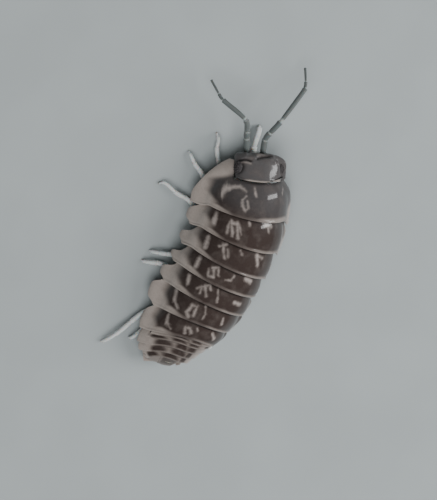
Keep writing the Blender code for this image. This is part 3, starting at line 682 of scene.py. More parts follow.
def horny_shell(name, front, rear, pale, mark):
    """Limy horn of a woodlouse's plate, grown in layers: dark pigment under clear glossy cuticle, thin and pale
    at its edges, with unpigmented marks where muscles are fixed to it, clouds, specks and fine pits; with
    painted shade behind plate edges and in grooves, and painted highlight on rear margins and groove lips."""
    finish, add, shader, spot = new_finish(name, {
        "IOR": 1.55, "Specular IOR Level": 0.12, "Coat Weight": 0.50, "Coat Roughness": 0.06, "Coat IOR": 1.5})
    cloud = add("TexNoise", {"Vector": spot, "Scale": 1 / 0.60, "Detail": 4.0})
    specks = add("TexNoise", {"Vector": spot, "Scale": 1 / 0.11, "Detail": 2.0})
    # From the grey of the front plates to the brown of the rear ones, between 2.2 and 0.4 mm before the middle
    back = add("SeparateXYZ", {"Vector": spot}, "Y")
    rearness = add("MapRange", {VALUE: back, LOW: -2.2, HIGH: -0.4}, **SOFT_STEP)
    colour = add("Mix", {SHARE: rearness, UNDER: front, OVER: rear}, **BLEND)
    clouded = add("MapRange", {VALUE: cloud, LOW: 0.35, HIGH: 0.70}, **SOFT_STEP)
    colour = add("Mix", {SHARE: clouded, UNDER: colour, OVER: (0.74, 0.71, 0.72)}, **DARKEN)
    # Pale thin horn, with painted highlight on the right of the rear margins and along the head's groove lips
    edge = add("Attribute", {}, "Fac", attribute_name="pale")
    edge = add("Math", {0: cloud, 1: 0.40, 2: edge}, operation="MULTIPLY_ADD")
    edge = add("MapRange", {VALUE: edge, LOW: 0.18, HIGH: 1.20})
    colour = add("Mix", {SHARE: edge, UNDER: colour, OVER: pale}, **BLEND)
    depth = add("Attribute", {}, "Fac", attribute_name="marks")
    ragged = add("TexNoise", {"Vector": spot, "Scale": 1 / 0.32, "Detail": 2.0})
    depth = add("Math", {0: ragged, 1: 0.26, 2: depth}, operation="MULTIPLY_ADD")
    depth = add("MapRange", {VALUE: depth, LOW: 0.02, HIGH: 0.35, TO_HIGH: 0.76}, **SOFT_STEP)
    colour = add("Mix", {SHARE: depth, UNDER: colour, OVER: mark}, **BLEND)
    speckled = add("MapRange", {VALUE: specks, LOW: 0.42, HIGH: 0.72, TO_HIGH: 0.30}, **SOFT_STEP)
    colour = add("Mix", {SHARE: speckled, UNDER: colour, OVER: (0.72, 0.70, 0.70)}, **DARKEN)
    # Painted shade: darker behind the edge of the plate ahead, on the head's groove floors, behind its nape rim
    # and round its left eye
    furrow = add("Attribute", {}, "Fac", attribute_name="furrow")
    colour = add("Mix", {SHARE: furrow, UNDER: colour, OVER: (0.16, 0.14, 0.14)}, **DARKEN)
    rough = add("MapRange", {VALUE: cloud, LOW: 0.30, HIGH: 0.70, TO_LOW: 0.30, TO_HIGH: 0.42}, **SOFT_STEP)
    # Pits about 0.05 mm apart in life, drawn at 0.07 mm so that they show
    pits = add("TexVoronoi", {"Vector": spot, "Scale": 1 / 0.07})
    relief = add("Bump", {"Height": pits, "Strength": 0.20, "Distance": 0.005 * MM})
    relief = add("Bump", {"Height": cloud, "Strength": 0.4, "Distance": 0.02 * MM, "Normal": relief})
    set_inputs(shader, {"Base Color": colour, "Roughness": rough, "Normal": relief})
    return finish


def limb_cuticle(name, article, joint, roughness, see_through):
    """Thin horn of a limb, clear enough to let light in, pale where soft joints show between its articles."""
    finish, add, shader, spot = new_finish(name, {
        "Roughness": roughness, "IOR": 1.50, "Subsurface Weight": see_through, "Subsurface Scale": 0.15 * MM})
    grain = add("TexNoise", {"Vector": spot, "Scale": 1 / 0.12, "Detail": 3.0})
    soft = add("Attribute", {}, "Fac", attribute_name="joint")
    soft = add("Math", {0: grain, 1: 0.30, 2: soft}, operation="MULTIPLY_ADD")
    soft = add("MapRange", {VALUE: soft, LOW: 0.40, HIGH: 0.90}, **SOFT_STEP)
    colour = add("Mix", {SHARE: soft, UNDER: article, OVER: joint}, **BLEND)
    mottled = add("MapRange", {VALUE: grain, LOW: 0.35, HIGH: 0.70, TO_HIGH: 0.35}, **SOFT_STEP)
    colour = add("Mix", {SHARE: mottled, UNDER: colour, OVER: (0.74, 0.73, 0.72)}, **DARKEN)
    relief = add("Bump", {"Height": grain, "Strength": 0.4, "Distance": 0.01 * MM})
    set_inputs(shader, {"Base Color": colour, "Normal": relief})
    return finish


def soft_skin(name, colour, fold, see_through=0.25):
    """Thin unhardened skin, milky, darker in its folds."""
    finish, add, shader, spot = new_finish(name, {
        "Roughness": 0.42, "IOR": 1.42, "Subsurface Weight": see_through, "Subsurface Scale": 0.25 * MM})
    cloud = add("TexNoise", {"Vector": spot, "Scale": 1 / 0.35, "Detail": 4.0})
    folded = add("MapRange", {VALUE: cloud, LOW: 0.35, HIGH: 0.70}, **SOFT_STEP)
    tint = add("Mix", {SHARE: folded, UNDER: colour, OVER: fold}, **BLEND)
    fine = add("TexNoise", {"Vector": spot, "Scale": 1 / 0.06, "Detail": 2.0})
    relief = add("Bump", {"Height": fine, "Strength": 0.3, "Distance": 0.01 * MM})
    set_inputs(shader, {"Base Color": tint, "Normal": relief})
    return finish


def eye_lens(name, colour):
    """Clear lenses over black pigment: near black, with a low gloss where dust and wax dull them."""
    finish, add, shader, spot = new_finish(name, {"Roughness": 0.50, "IOR": 1.45, "Specular IOR Level": 0.25})
    cloud = add("TexNoise", {"Vector": spot, "Scale": 1 / 0.10})
    clouded = add("MapRange", {VALUE: cloud, LOW: 0.35, HIGH: 0.70}, **SOFT_STEP)
    tint = add("Mix", {SHARE: clouded, UNDER: colour, OVER: (0.050, 0.045, 0.045)}, **BLEND)
    set_inputs(shader, {"Base Color": tint})
    return finish


def plain_floor(name, colour):
    """Matt painted board, rolled on, so its colour varies a little."""
    finish, add, shader, spot = new_finish(name, {"Roughness": 0.85})
    cloud = add("TexNoise", {"Vector": spot, "Scale": 1 / 6.0})
    clouded = add("MapRange", {VALUE: cloud, LOW: 0.30, HIGH: 0.70, TO_HIGH: 0.25}, **SOFT_STEP)
    tint = add("Mix", {SHARE: clouded, UNDER: colour, OVER: (0.80, 0.80, 0.80)}, **DARKEN)
    set_inputs(shader, {"Base Color": tint})
    return finish


# Sizes and colours that a user would change

def length(label, millimetres, about):
    return bpy.props.FloatProperty(
        name=label, description=about, default=millimetres * MM, min=0.0, precision=5, unit="LENGTH")


def colour(label, hex_colour, about):
    return bpy.props.FloatVectorProperty(
        name=label, description=about, default=linear(hex_colour), min=0.0, max=1.0, subtype="COLOR")


class WoodlousePlates(bpy.types.PropertyGroup):
    """Plates of the back and tail."""

    wall: length("Wall", 0.11, "Thickness of a plate")
    overlap: length("Overlap", 0.19, "How far a plate's neck lies below the rear edge of the plate in front")
    rim: length("Rim", 0.035, "Height of the bead along a plate's rear edge")
    columns: bpy.props.IntProperty(name="Columns", description="Faces across a plate", default=200, min=20)
    rows: bpy.props.IntProperty(name="Rows", description="Faces along a plate", default=44, min=8)
    front: colour("Front plates", "403D3D", "Pigment of the plates behind the head")
    rear: colour("Rear plates", "342B28", "Pigment of the plates near the tail")
    pale: colour("Thin edges", "9C928B", "Side plates and rear edges, where the horn is thin")
    mark: colour("Marks", "A89E98", "Unpigmented marks on the plates")


class WoodlouseHead(bpy.types.PropertyGroup):
    """Head and eyes."""

    pigment: colour("Head", "4A4848", "Pigment of the head")
    eye: colour("Eye", "343233", "Colour of the eyes")
    facet: length("Facet", 0.075, "Radius of one lens of the eye")


class WoodlouseLimbs(bpy.types.PropertyGroup):
    """Legs and feelers."""

    leg: colour("Legs", "C2C5C4", "Horn of the legs")
    leg_joint: colour("Leg joints", "CFD1CF", "Soft skin at the joints of the legs")
    antenna: colour("Feelers", "595E5D", "Horn of the feelers")
    antenna_joint: colour("Feeler joints", "8F9593", "Soft skin at the joints of the feelers")
    claw: colour("Claws", "8A7A68", "Horn of the claws")
    spine: length("Spine", 0.16, "Length of a spine on the legs")


class WoodlouseSoft(bpy.types.PropertyGroup):
    """Belly and gills."""

    belly: colour("Belly", "A39C92", "Skin of the underside")
    gill: colour("Gills", "C9C4BA", "Skin of the gills")


class WoodlouseStage(bpy.types.PropertyGroup):
    """Floor, lights and camera."""

    floor: colour("Floor", "969C9D", "Paint of the floor")
    key: bpy.props.FloatProperty(name="Key light", description="Power in watts", default=0.30, min=0.0)
    fill: bpy.props.FloatProperty(name="Overhead light", description="Power in watts", default=0.56, min=0.0)
    sky: bpy.props.FloatProperty(name="Room light", description="Strength of the even light", default=0.416)


# Plates of the back and tail

# Degrees round the arch to which the dark pigment reaches on each tergite, how much further on the right, how
# far it draws back and over which millimetres behind the front edge, and how softly it ends; on the collar it
# grows behind the lobe and shrinks again, over these distances
PIGMENT_REACH = {1: 44.0, 2: 64.0, 3: 64.0, 4: 64.0, 5: 65.0, 6: 72.0, 7: 72.0}
PIGMENT_FURTHER_RIGHT = 18.0
PIGMENT_DRAWN_BACK = (15.0, 0.5, 1.3)
PIGMENT_END = (-10.0, 9.0)
COLLAR_PIGMENT_GROWS = (27.0, 1.6, 2.5)
COLLAR_PIGMENT_SHRINKS = (18.0, 3.2, 3.9)

# Pale margin along a tergite's rear edge: its width and its strength, and what is added to each towards the left
# side plate, over these degrees, and on the right as painted highlight where light falls on it, over these
# degrees; and how softly it ends
MARGIN = 0.13
MARGIN_WIDER_LEFT = (0.24, 24.0, 52.0)
COLLAR_MARGIN_HIGHLIGHT_WIDER = 0.12
MARGIN_STRENGTH = 0.14
MARGIN_STRONGER_LEFT = (0.70, 18.0, 52.0)
MARGIN_HIGHLIGHT_RIGHT = 0.42
MARGIN_HIGHLIGHT_SIDE = (-4.0, 26.0)
MARGIN_END = (-0.09, 0.12)

# Painted shade in the furrow behind the edge of the plate ahead: its strength, the millimetres over which it
# ends, how much weaker it is on the left, and the degrees over which it ends at the sides; then the same for a
# tail segment, whose middle lies to the right
FURROW_SHADE = 0.8
FURROW_SHADE_OVER = (0.04, 0.20)
FURROW_SHADE_WEAKER_LEFT = (0.7, 4.0, 30.0)
FURROW_SHADE_SIDES = (50.0, 66.0)
RING_FURROW_SHADE = 0.45
RING_FURROW_SHADE_OVER = (0.02, 0.14)
RING_FURROW_SHADE_MIDDLE = -14.0
RING_FURROW_SHADE_SIDES = (34.0, 50.0)

# Dark patches of a tail segment: degrees added to their width, their stretch along the segment, the share of it
# at which they lie and their slant, and how softly they end; the pale horn between them, in the middle and
# beside it, over these degrees, and along the rear edge
PATCH_WIDER = 8.0
PATCH_STRETCH = 1.45
PATCH_AT = 0.52
PATCH_SLANT = 0.20
PATCH_END = (0.46, 1.20)
RING_PALE = 0.45
RING_PALER = (0.55, 26.0, 62.0)
RING_MARGIN = 0.36
RING_MARGIN_OVER = (0.07, 0.15)


def marks_on(strokes, angle, behind):
    """Depth of each point of a plate in its pale marks."""
    strokes = [(x0 * MM_PER_DEGREE, y0, x1 * MM_PER_DEGREE, y1, width) for x0, y0, x1, y1, width in strokes]
    return stroke_depth(np.degrees(angle) * MM_PER_DEGREE, behind, strokes)


def pale_edges_and_highlight(number, angle, station, behind, ahead):
    """Share of pale horn and painted highlight: the side plate, and a rear margin that broadens towards it."""
    steep = np.degrees(np.abs(angle))
    left, right = angle > 0, smooth(-np.degrees(angle), *MARGIN_HIGHLIGHT_SIDE)
    reach = PIGMENT_REACH[number] + PIGMENT_FURTHER_RIGHT * (angle < 0)
    if number == 1:
        reach = reach + grown(station, *COLLAR_PIGMENT_GROWS) - grown(station, *COLLAR_PIGMENT_SHRINKS)
    else:
        reach = reach - grown(behind, *PIGMENT_DRAWN_BACK)
    margin = MARGIN + grown(steep, *MARGIN_WIDER_LEFT) * left
    # On the right the margin is painted wider on the collar and lighter on every tergite, as highlight where
    # light falls on it
    margin = margin + COLLAR_MARGIN_HIGHLIGHT_WIDER * right * (number == 1)
    strength = MARGIN_STRENGTH + grown(steep, *MARGIN_STRONGER_LEFT) * left + MARGIN_HIGHLIGHT_RIGHT * right
    band = strength * (1 - smooth(ahead, margin + MARGIN_END[0], margin + MARGIN_END[1]))
    return np.maximum(smooth(steep - reach, *PIGMENT_END), band)


def round_arch(across, reach):
    """Angles across the arch, closer together towards the side plates."""
    return np.sign(across) * reach * (1 - (1 - np.abs(across)) ** COLUMNS_GATHER)


def corner_reach(along, front, rear, rounding):
    """How far round the arch a side plate goes: less at its front and rear corners."""
    cut = front * (1 - smooth(along, 0.0, rounding)) + rear * smooth(along, REAR_CORNER_FROM, 1.0)
    return np.radians(90.0 - cut)


def rim_bead(ahead):
    """Rounded bead along the rear edge with a shallow groove in front of it, by millimetres ahead of the edge."""
    return ridge(ahead - BEAD_AT, BEAD_HALF) - BEAD_FURROW * ridge(ahead - BEAD_FURROW_AT, BEAD_HALF)


def pereonite(number, sizes):
    """One tergite with its side plates: a neck under the plate in front and a bead along its rear edge."""
    sheet, across, along = laid_sheet(sizes.columns, sizes.rows)
    angle = round_arch(across, corner_reach(along, *CORNERS[number]))
    steep = np.abs(angle)
    rear = tergite_edge(number, angle)
    if number == 1:
        front = seen = collar_front(angle)
        shoulder, below = front + NECK_LENGTH, COLLAR_SUNK
    else:
        seen = tergite_edge(number - 1, angle)
        opening = smooth(steep, *NOTCH)
        front = seen - TUCK * (1 - opening) + TERGITES[number - 1][3] * opening
        shoulder = np.maximum(seen + NECK_PAST, front + NECK_LENGTH)
        below = sizes.overlap / MM * (1 - smooth(steep, *STEP))
    station = np.where(
        along < NECK,
        front + (shoulder - front) * along / NECK,
        shoulder + (rear - shoulder) * (along - NECK) / (1 - NECK),
    )
    risen = np.clip((along - NECK) / (1 - NECK), 0.0, 1.0)
    sunk = below * (1 - risen) ** RISE_POWER - sizes.rim / MM * rim_bead(rear - station)
    sunk += BULGE * ((2 * risen - 1) ** 2 - BULGE_LEVEL)
    set_corners(sheet, on_arch(station, angle, sunk, TERGITES[number][2], number == 1))
    behind, ahead = station - seen, rear - station
    # Painted shade behind the edge of the plate ahead
    furrow = FURROW_SHADE * (1 - smooth(behind, *FURROW_SHADE_OVER)) * (1 - grown(np.degrees(angle), *FURROW_SHADE_WEAKER_LEFT))
    paint(
        sheet,
        pale=pale_edges_and_highlight(number, angle, station, behind, ahead),
        marks=marks_on(STROKES[number], angle, behind),
        furrow=furrow * (1 - smooth(np.degrees(steep), *FURROW_SHADE_SIDES)),
    )
    return walled(sheet, sizes)


def walled(sheet, sizes, small=False):
    """A laid sheet made a plate with rounded edges, which a small one keeps thin."""
    wall = sizes.wall / MM
    applied(sheet, "SOLIDIFY", thickness=wall, offset=-1.0)
    applied(sheet, "BEVEL", width=wall * (SMALL_EDGE_ROUNDED if small else EDGE_ROUNDED), segments=3,
            limit_method="ANGLE", angle_limit=SHARP, use_clamp_overlap=not small)
    return sheet


def pleonite(number, sizes):
    """One narrow tail segment, its front edge under the segment ahead."""
    sheet, across, along = laid_sheet(sizes.columns * 3 // 4, sizes.rows // 3)
    angle = round_arch(across, math.radians(PLEONITES[number][3]))
    steep = np.abs(angle)
    seen = tergite_edge(7, angle) if number == 1 else pleonite_edge(number - 1, angle)
    if number == 3:
        seen = seen + (tergite_edge(7, angle) - seen) * smooth(steep, *RING_BESIDE)
    rear = pleonite_edge(number, angle)
    front = seen - RING_TUCK * (1 - smooth(steep, *NOTCH))
    station = front + (rear - front) * along
    sunk = RING_DEPTH + RING_SUNK * (1 - along) ** 2 - RING_BEAD * sizes.rim / MM * rim_bead(rear - station)
    set_corners(sheet, on_arch(station, angle, sunk, TAIL_FLARE))
    degrees = np.degrees(angle)
    dark = np.zeros(len(degrees))
    seen_share = (station - seen) / np.maximum(rear - seen, RING_LEAST)
    for high, low in TAIL_PATCHES[number]:
        sideways = (2 * degrees - high - low) / (high - low + PATCH_WIDER)
        lengthwise = PATCH_STRETCH * (seen_share - PATCH_AT + PATCH_SLANT * sideways)
        dark = np.maximum(dark, 1 - smooth(np.hypot(sideways, lengthwise), *PATCH_END))
    between = (1 - dark) * (RING_PALE + grown(np.abs(degrees), *RING_PALER))
    beside = 1 - smooth(np.abs(degrees - RING_FURROW_SHADE_MIDDLE), *RING_FURROW_SHADE_SIDES)
    paint(
        sheet,
        pale=np.maximum(between, RING_MARGIN * (1 - smooth(rear - station, *RING_MARGIN_OVER))),
        marks=-1.0,
        # painted shade behind the edge of the segment ahead
        furrow=RING_FURROW_SHADE * (1 - smooth(station - seen, *RING_FURROW_SHADE_OVER)) * beside,
    )
    return walled(sheet, sizes)


def tail_plate(inner, outer, front_edge, rear_edge, lifted, pale, sizes):
    """A plate on the dome between two lengthwise edges, as TAIL_PLATES gives it."""
    sheet, across, along = laid_sheet(*TAIL_PLATE_GRID)
    outward = (across + 1) / 2
    front, rear = (start + more * outward + bow * across**2 for start, more, bow in (front_edge, rear_edge))
    distance = front + (rear - front) * along
    inside, outside = (start + lean * along for start, lean in (inner, outer))
    left = inside + (outside - inside) * outward
    width = np.maximum(half_width(distance), DOME_LEAST) * np.where(left < 0, right_side(distance), 1.0)
    share = np.minimum(DOME_STOP, np.abs(left) / (width + DOME_ROOM))
    height = EDGE_HEIGHT + (arch_height(distance) - TAIL_PLATE_SUNK) * np.sqrt(1 - share**2) + lifted
    set_corners(sheet, place(distance, left, height))
    paint(sheet, pale=pale + grown(np.maximum(np.abs(across), along), *TAIL_PLATE_RIM), marks=-1.0, furrow=0.0)
    return walled(sheet, sizes, small=True)


class WOODLOUSE_OT_back(bpy.types.Operator):
    """Seven overlapping tergites with their side plates"""

    bl_idname = "woodlouse.back"
    bl_label = "Back plates"

    def execute(self, context):
        sizes = context.scene.woodlouse_plates
        finish = horny_shell("shell_horn", sizes.front, sizes.rear, sizes.pale, sizes.mark)
        for number in TERGITES:
            finished(pereonite(number, sizes), f"back_plate_{number}", [finish], "shell", f"pereonite_{number}")
        return {"FINISHED"}


class WOODLOUSE_OT_tail(bpy.types.Operator):
    """Five tail segments, the end plate and the tail feet beside it"""

    bl_idname = "woodlouse.tail"
    bl_label = "Tail plates"

    def execute(self, context):
        sizes = context.scene.woodlouse_plates
        finish = bpy.data.materials["shell_horn"]
        for number in PLEONITES:
            finished(pleonite(number, sizes), f"tail_ring_{number}", [finish], "shell", f"pleonite_{number}")
        for (name, node), shape in TAIL_PLATES.items():
            finished(tail_plate(*shape, sizes), name, [finish], "shell", node)
        return {"FINISHED"}


# Head

def ball(columns, rings):
    """A sphere primitive with the turn round its axis and the share from pole to pole of each point."""
    deselect()
    bpy.ops.mesh.primitive_uv_sphere_add(segments=columns, ring_count=rings, radius=1.0)
    sphere = bpy.context.object
    spots = corners(sphere)
    return sphere, np.arctan2(spots[:, 1], spots[:, 0]), np.arccos(np.clip(spots[:, 2], -1, 1)) / math.pi


def near_path(spots, path):
    """Distance of each point from a path of straight lengths."""
    path = np.asarray(path, float)
    nearest = np.full(len(spots), 99.0)
    for a, b in zip(path[:-1], path[1:]):
        span = b - a
        share = np.clip((spots - a) @ span / span.dot(span), 0.0, 1.0)
        nearest = np.minimum(nearest, np.linalg.norm(spots - a - share[:, None] * span, axis=1))
    return nearest


# Relief of the head's upper side, as distance from the front and left of the middle
BROW = ((0.98, 1.55), (0.62, 1.36), (0.42, 1.05), (0.40, 0.60), (0.38, 0.30))
RIGHT_BROW = ((0.98, -1.45), (0.60, -1.25), (0.36, -0.90), (0.30, -0.45), (0.36, 0.10))
GROOVE = ((0.70, 1.46), (0.60, 1.24), (0.58, 1.02), (0.62, 0.76))
RIGHT_GROOVE = ((0.48, 0.34), (0.40, 0.10), (0.35, -0.25), (0.30, -0.72))
NAPE = ((1.80, 1.52), (1.85, 1.00), (1.88, 0.00), (1.85, -1.10), (1.80, -1.62))
# Heights between which the upper side begins, and its fall to the right and the distances over which it falls
UPPER_SIDE = (2.15, 2.45)
HEAD_SLOPE = (-0.36, 0.1, 1.9)
# Each ridge or groove with its height and half width
HEAD_RIDGES = (
    (BROW, 0.06, 0.10), (RIGHT_BROW, 0.05, 0.10), (GROOVE, -0.11, 0.065), (RIGHT_GROOVE, -0.11, 0.065),
    (NAPE, 0.045, 0.05),
)
# Swellings and hollows of the face: distance from the front, left of the middle and height; radii; how high
FACE = (
    ((0.18, FACE_LEFT, 2.30), (0.5, 0.42, 0.34), 0.10),
    ((0.25, FACE_LEFT + 0.92, 2.35), (0.4, 0.26, 0.24), 0.12),
    ((0.25, FACE_LEFT - 0.92, 2.35), (0.4, 0.26, 0.24), 0.12),
    ((0.20, FACE_LEFT + 0.62, 1.80), (0.4, 0.24, 0.20), -0.12),
    ((0.20, FACE_LEFT - 0.62, 1.80), (0.4, 0.24, 0.20), -0.12),
    ((0.35, FACE_LEFT / 2, 1.45), (0.4, 0.60, 0.18), 0.06),
)
# Ridge round each eye: radii of the eye's place, how far out of it, half width and height of the ridge
EYE_PLACE = (0.46, 0.42, 0.38)
EYE_RIDGE = (1.18, 0.14, 0.02)
# Lines along those paths: how far behind the path, half width and strength; the pale rim at the nape, painted
# highlights on the lips of the grooves, and painted shade behind the nape rim and on the groove floors. Then the
# painted shade round the left eye: its radii, the shares of them over which it ends, and its strength
NAPE_RIM = (NAPE, 0.0, 0.06, 0.80)
NAPE_RIM_ENDS_LEFT = (0.7, 1.2)
GROOVE_LIP_HIGHLIGHTS = ((GROOVE, 0.17, 0.06, 0.35), (RIGHT_GROOVE, -0.12, 0.05, 0.35))
NAPE_FURROW_SHADE = (NAPE, 0.13, 0.06, 1.0)
GROOVE_FLOOR_SHADES = ((GROOVE, 0.0, 0.055, 0.9), (RIGHT_GROOVE, 0.0, 0.045, 0.9))
EYE_SHADE = (0.66, 0.62, 0.62)
EYE_SHADE_OVER = (0.55, 1.10)
EYE_SHADE_STRENGTH = 0.8


def head_relief(spots):
    """Height of the head's relief over its plain capsule, for points in distance, left and height."""
    plan, upper = spots[:, :2], smooth(spots[:, 2], *UPPER_SIDE)
    lift = grown(-spots[:, 1], *HEAD_SLOPE) * upper
    for path, height, width in HEAD_RIDGES:
        lift += height * upper * ridge(near_path(plan, path), width)
    for centre, radii, height in FACE:
        lift += height * ridge(np.linalg.norm((spots - centre) / radii, axis=1), 1.0)
    for side in (1, -1):
        eye = (EYE_DISTANCE, EYE_LEFT[side], EYE_HEIGHT[side])
        out, width, height = EYE_RIDGE
        lift += height * ridge(np.linalg.norm((spots - eye) / EYE_PLACE, axis=1) - out, width)
    return lift


class WOODLOUSE_OT_head(bpy.types.Operator):
    """Head capsule with its brow, grooves, shield between the feelers and the rim at its nape"""

    bl_idname = "woodlouse.head"
    bl_label = "Head"

    def execute(self, context):
        colours, plates = context.scene.woodlouse_head, context.scene.woodlouse_plates
        capsule, turn, share = ball(*HEAD_GRID)
        distance, shift, width, low, high = through(HEAD_SECTIONS, share).T
        c, s = np.cos(turn), np.sin(turn)
        up = np.sign(s) * np.abs(s) ** (2 / HEAD_POWER)
        left = width * np.sign(c) * np.abs(c) ** (2 / HEAD_POWER) * (1 + HEAD_NARROWS_BELOW * np.minimum(up, 0))
        height = (low + high) / 2 + (high - low) / 2 * up
        set_corners(capsule, place(distance, HEAD_LEFT + shift + left, height))
        closed(capsule)
        merged = corners(capsule)
        spots = own_places(merged)
        normals = np.empty(len(merged) * 3)
        capsule.data.vertices.foreach_get("normal", normals)
        lift = head_relief(spots)
        set_corners(capsule, merged + normals.reshape(-1, 3) * lift[:, None])
        plan, upper = spots[:, :2], smooth(spots[:, 2], *UPPER_SIDE)

        def line(path, backward, width, strength):
            return strength * upper * ridge(near_path(plan, np.array(path) + (backward, 0.0)), width)

        eye = (EYE_DISTANCE, EYE_LEFT[1], EYE_HEIGHT[1])
        shade = 1 - smooth(np.linalg.norm((spots - eye) / EYE_SHADE, axis=1), *EYE_SHADE_OVER)
        # Pale rim at the nape and painted highlights on the groove lips; painted shade on the groove floors,
        # behind the nape rim and round the left eye
        paint(
            capsule,
            pale=line(*NAPE_RIM) * (1 - smooth(plan[:, 1], *NAPE_RIM_ENDS_LEFT))
            + np.maximum(*(line(*lip) for lip in GROOVE_LIP_HIGHLIGHTS)),
            marks=-1.0,
            furrow=np.maximum(*(line(*floor) for floor in GROOVE_FLOOR_SHADES)) + line(*NAPE_FURROW_SHADE)
            + EYE_SHADE_STRENGTH * shade,
        )
        finish = horny_shell("head_horn", colours.pigment, colours.pigment, plates.pale, plates.mark)
        finished(capsule, "head_capsule", [finish], "head", "head", smooth_angle=60)
        return {"FINISHED"}


def own_places(points):
    """Distance from the head's front, left of its middle and height, of points on the model."""
    gap = points - place(0.0, HEAD_LEFT, 0.0)
    left, tailward = leftward_at(HEAD_TURNED_AT), tailward_at(HEAD_TURNED_AT)
    return np.stack([gap @ tailward, gap @ left, points[:, 2]], axis=-1)


class WOODLOUSE_OT_eyes(bpy.types.Operator):
    """Eye on each side of the head: a low dome with about twenty lenses in rows"""

    bl_idname = "woodlouse.eyes"
    bl_label = "Eyes"

    def execute(self, context):
        colours = context.scene.woodlouse_head
        finish = eye_lens("eye_lens", colours.eye)
        facet = colours.facet / MM
        for side, word in ((1, "left"), (-1, "right")):
            centre = place(EYE_DISTANCE, HEAD_LEFT + EYE_LEFT[side], EYE_HEIGHT[side])
            dome, _, _ = ball(*EYE_GRID)
            set_corners(dome, standing(corners(dome) * EYE_SIZE, centre, EYE_DISTANCE))
            lenses = [dome]
            for row in LENS_ROWS:
                for column in LENS_ROWS:
                    along = (column + (row % 2) / 2) * LENS_STEP[0] * facet
                    up = row * LENS_STEP[1] * facet
                    reach = (along / EYE_SIZE[1]) ** 2 + (up / EYE_SIZE[2]) ** 2
                    if reach > LENSES_WITHIN:
                        continue
                    out = side * EYE_SIZE[0] * math.sqrt(1 - reach)
                    spot = standing(np.array([[out, along, up]]), centre, EYE_DISTANCE)[0]
                    bpy.ops.object.select_all(action="DESELECT")
                    bpy.ops.mesh.primitive_ico_sphere_add(subdivisions=2, radius=facet, location=spot)
                    lenses.append(bpy.context.object)
            finished(joined(lenses), f"eye_lenses_{word}", [finish], "eye", f"eye_{word}", smooth_angle=60)
        return {"FINISHED"}


# Limbs

# Rings of an article: share of its length and of its radius; and the shares at its ends over which it is pale
ARTICLE_RINGS = (
    (0.00, 0.66), (0.03, 0.80), (0.12, 0.90), (0.25, 0.96), (0.40, 1.00), (0.55, 1.00),
    (0.70, 0.98), (0.84, 1.02), (0.93, 1.08), (0.98, 1.02), (1.00, 0.86),
)
PALE_START = 0.10
PALE_END = 0.07


def article_tube(rings, sides=20):
    """One article of a limb along Z, from 0 to 1: a disc extruded and resized ring by ring."""
    deselect()
    bpy.ops.mesh.primitive_circle_add(vertices=sides, radius=rings[0][1], fill_type="NGON")
    tube = bpy.context.object
    bpy.ops.object.mode_set(mode="EDIT")
    bpy.ops.mesh.select_all(action="SELECT")
    for (last_height, last_radius), (height, radius) in zip(rings, rings[1:]):
        bpy.ops.mesh.extrude_region_move(TRANSFORM_OT_translate={"value": (0, 0, height - last_height)})
        bpy.ops.transform.resize(value=(radius / last_radius, radius / last_radius, 1.0))
    bpy.ops.mesh.select_all(action="SELECT")
    bpy.ops.mesh.normals_make_consistent(inside=False)
    bpy.ops.object.mode_set(mode="OBJECT")
    return tube


def laid_along(tube, frames, start, end, radius, flat=1.0, slimmer=0.0):
    """A copy of a tube bent along a limb, from one share of it to another, slimmer towards its end."""
    piece = copy_of(tube)
    spots = corners(piece)
    share = spots[:, 2]
    points, sideways, upward = carried(frames, start + (end - start) * share)
    radius = radius * (1 - slimmer * spots[:, 2:])
    set_corners(piece, points + (sideways * spots[:, :1] + upward * spots[:, 1:2] * flat) * radius)
    ends = np.maximum(1 - share / PALE_START, 1 - (1 - share) / PALE_END)
    paint(piece, joint=np.clip(ends, 0.0, 1.0))
    return piece


def bristle(frames, at, turn, radius, length, thickness, lean=0.6):
    """A fine spine that stands out from just under a limb's surface and leans towards the limb's tip."""
    spot, side, up = carried(frames, at)
    out = Vector(side * math.cos(turn) + up * math.sin(turn))
    ahead = Vector(np.cross(side, up)) * -1
    direction = (out + ahead * lean).normalized()
    bpy.ops.object.select_all(action="DESELECT")
    bpy.ops.mesh.primitive_cone_add(
        vertices=5, radius1=thickness, radius2=thickness * BRISTLE_TIP, depth=length)
    spine = bpy.context.object
    middle = Vector(spot) + out * radius * BRISTLE_FOOT + direction * length * BRISTLE_MIDDLE
    spine.matrix_world = Matrix.Translation(middle) @ direction.to_track_quat("Z", "Y").to_matrix().to_4x4()
    only(spine)
    bpy.ops.object.transform_apply(location=True, rotation=True, scale=True)
    paint(spine, joint=0.5)
    return spine


def leg_knots(side, number):
    """Knots of a leg's middle line from its root under the belly to its foot."""
    if number == 1:
        base = tergite_edge(1, 0.0) - FIRST_LEG_AHEAD
    else:
        base = (tergite_edge(number - 1, 0.0) + tergite_edge(number, 0.0)) / 2
    sign, bends = (1, LEGS_LEFT[number]) if side == "left" else (-1, LEGS_RIGHT[number])
    lean, out, up = ROOT_BEND
    spots = [(0.0, ROOT_OUT, ROOT_HEIGHT), (bends[0][0] * lean, ROOT_OUT + out, ROOT_HEIGHT + up)]
    spots += bends[:-1]
    spots.append((*bends[-1], FOOT_TIP))
    tailward = tailward_at(base)
    return [place(base, sign * outward, height) + tailward * back for back, outward, height in spots]


def claw_at(line):
    """Claw that curves from the end of a leg's line down to the floor."""
    foot = line[-1]
    toe = foot + (foot - line[-1 - CLAW_STEPS]) * (CLAW_REACH, CLAW_REACH, 0.0)
    claw = article_tube(CLAW, sides=10)
    spots = corners(claw)
    curve = through([foot + (0, 0, CLAW_RAISED), (foot + toe) / 2, (toe[0], toe[1], CLAW_TIP)], spots[:, 2])
    set_corners(claw, curve + spots * (1, 1, 0))
    closed(claw)
    paint(claw, joint=0.0)
    return claw


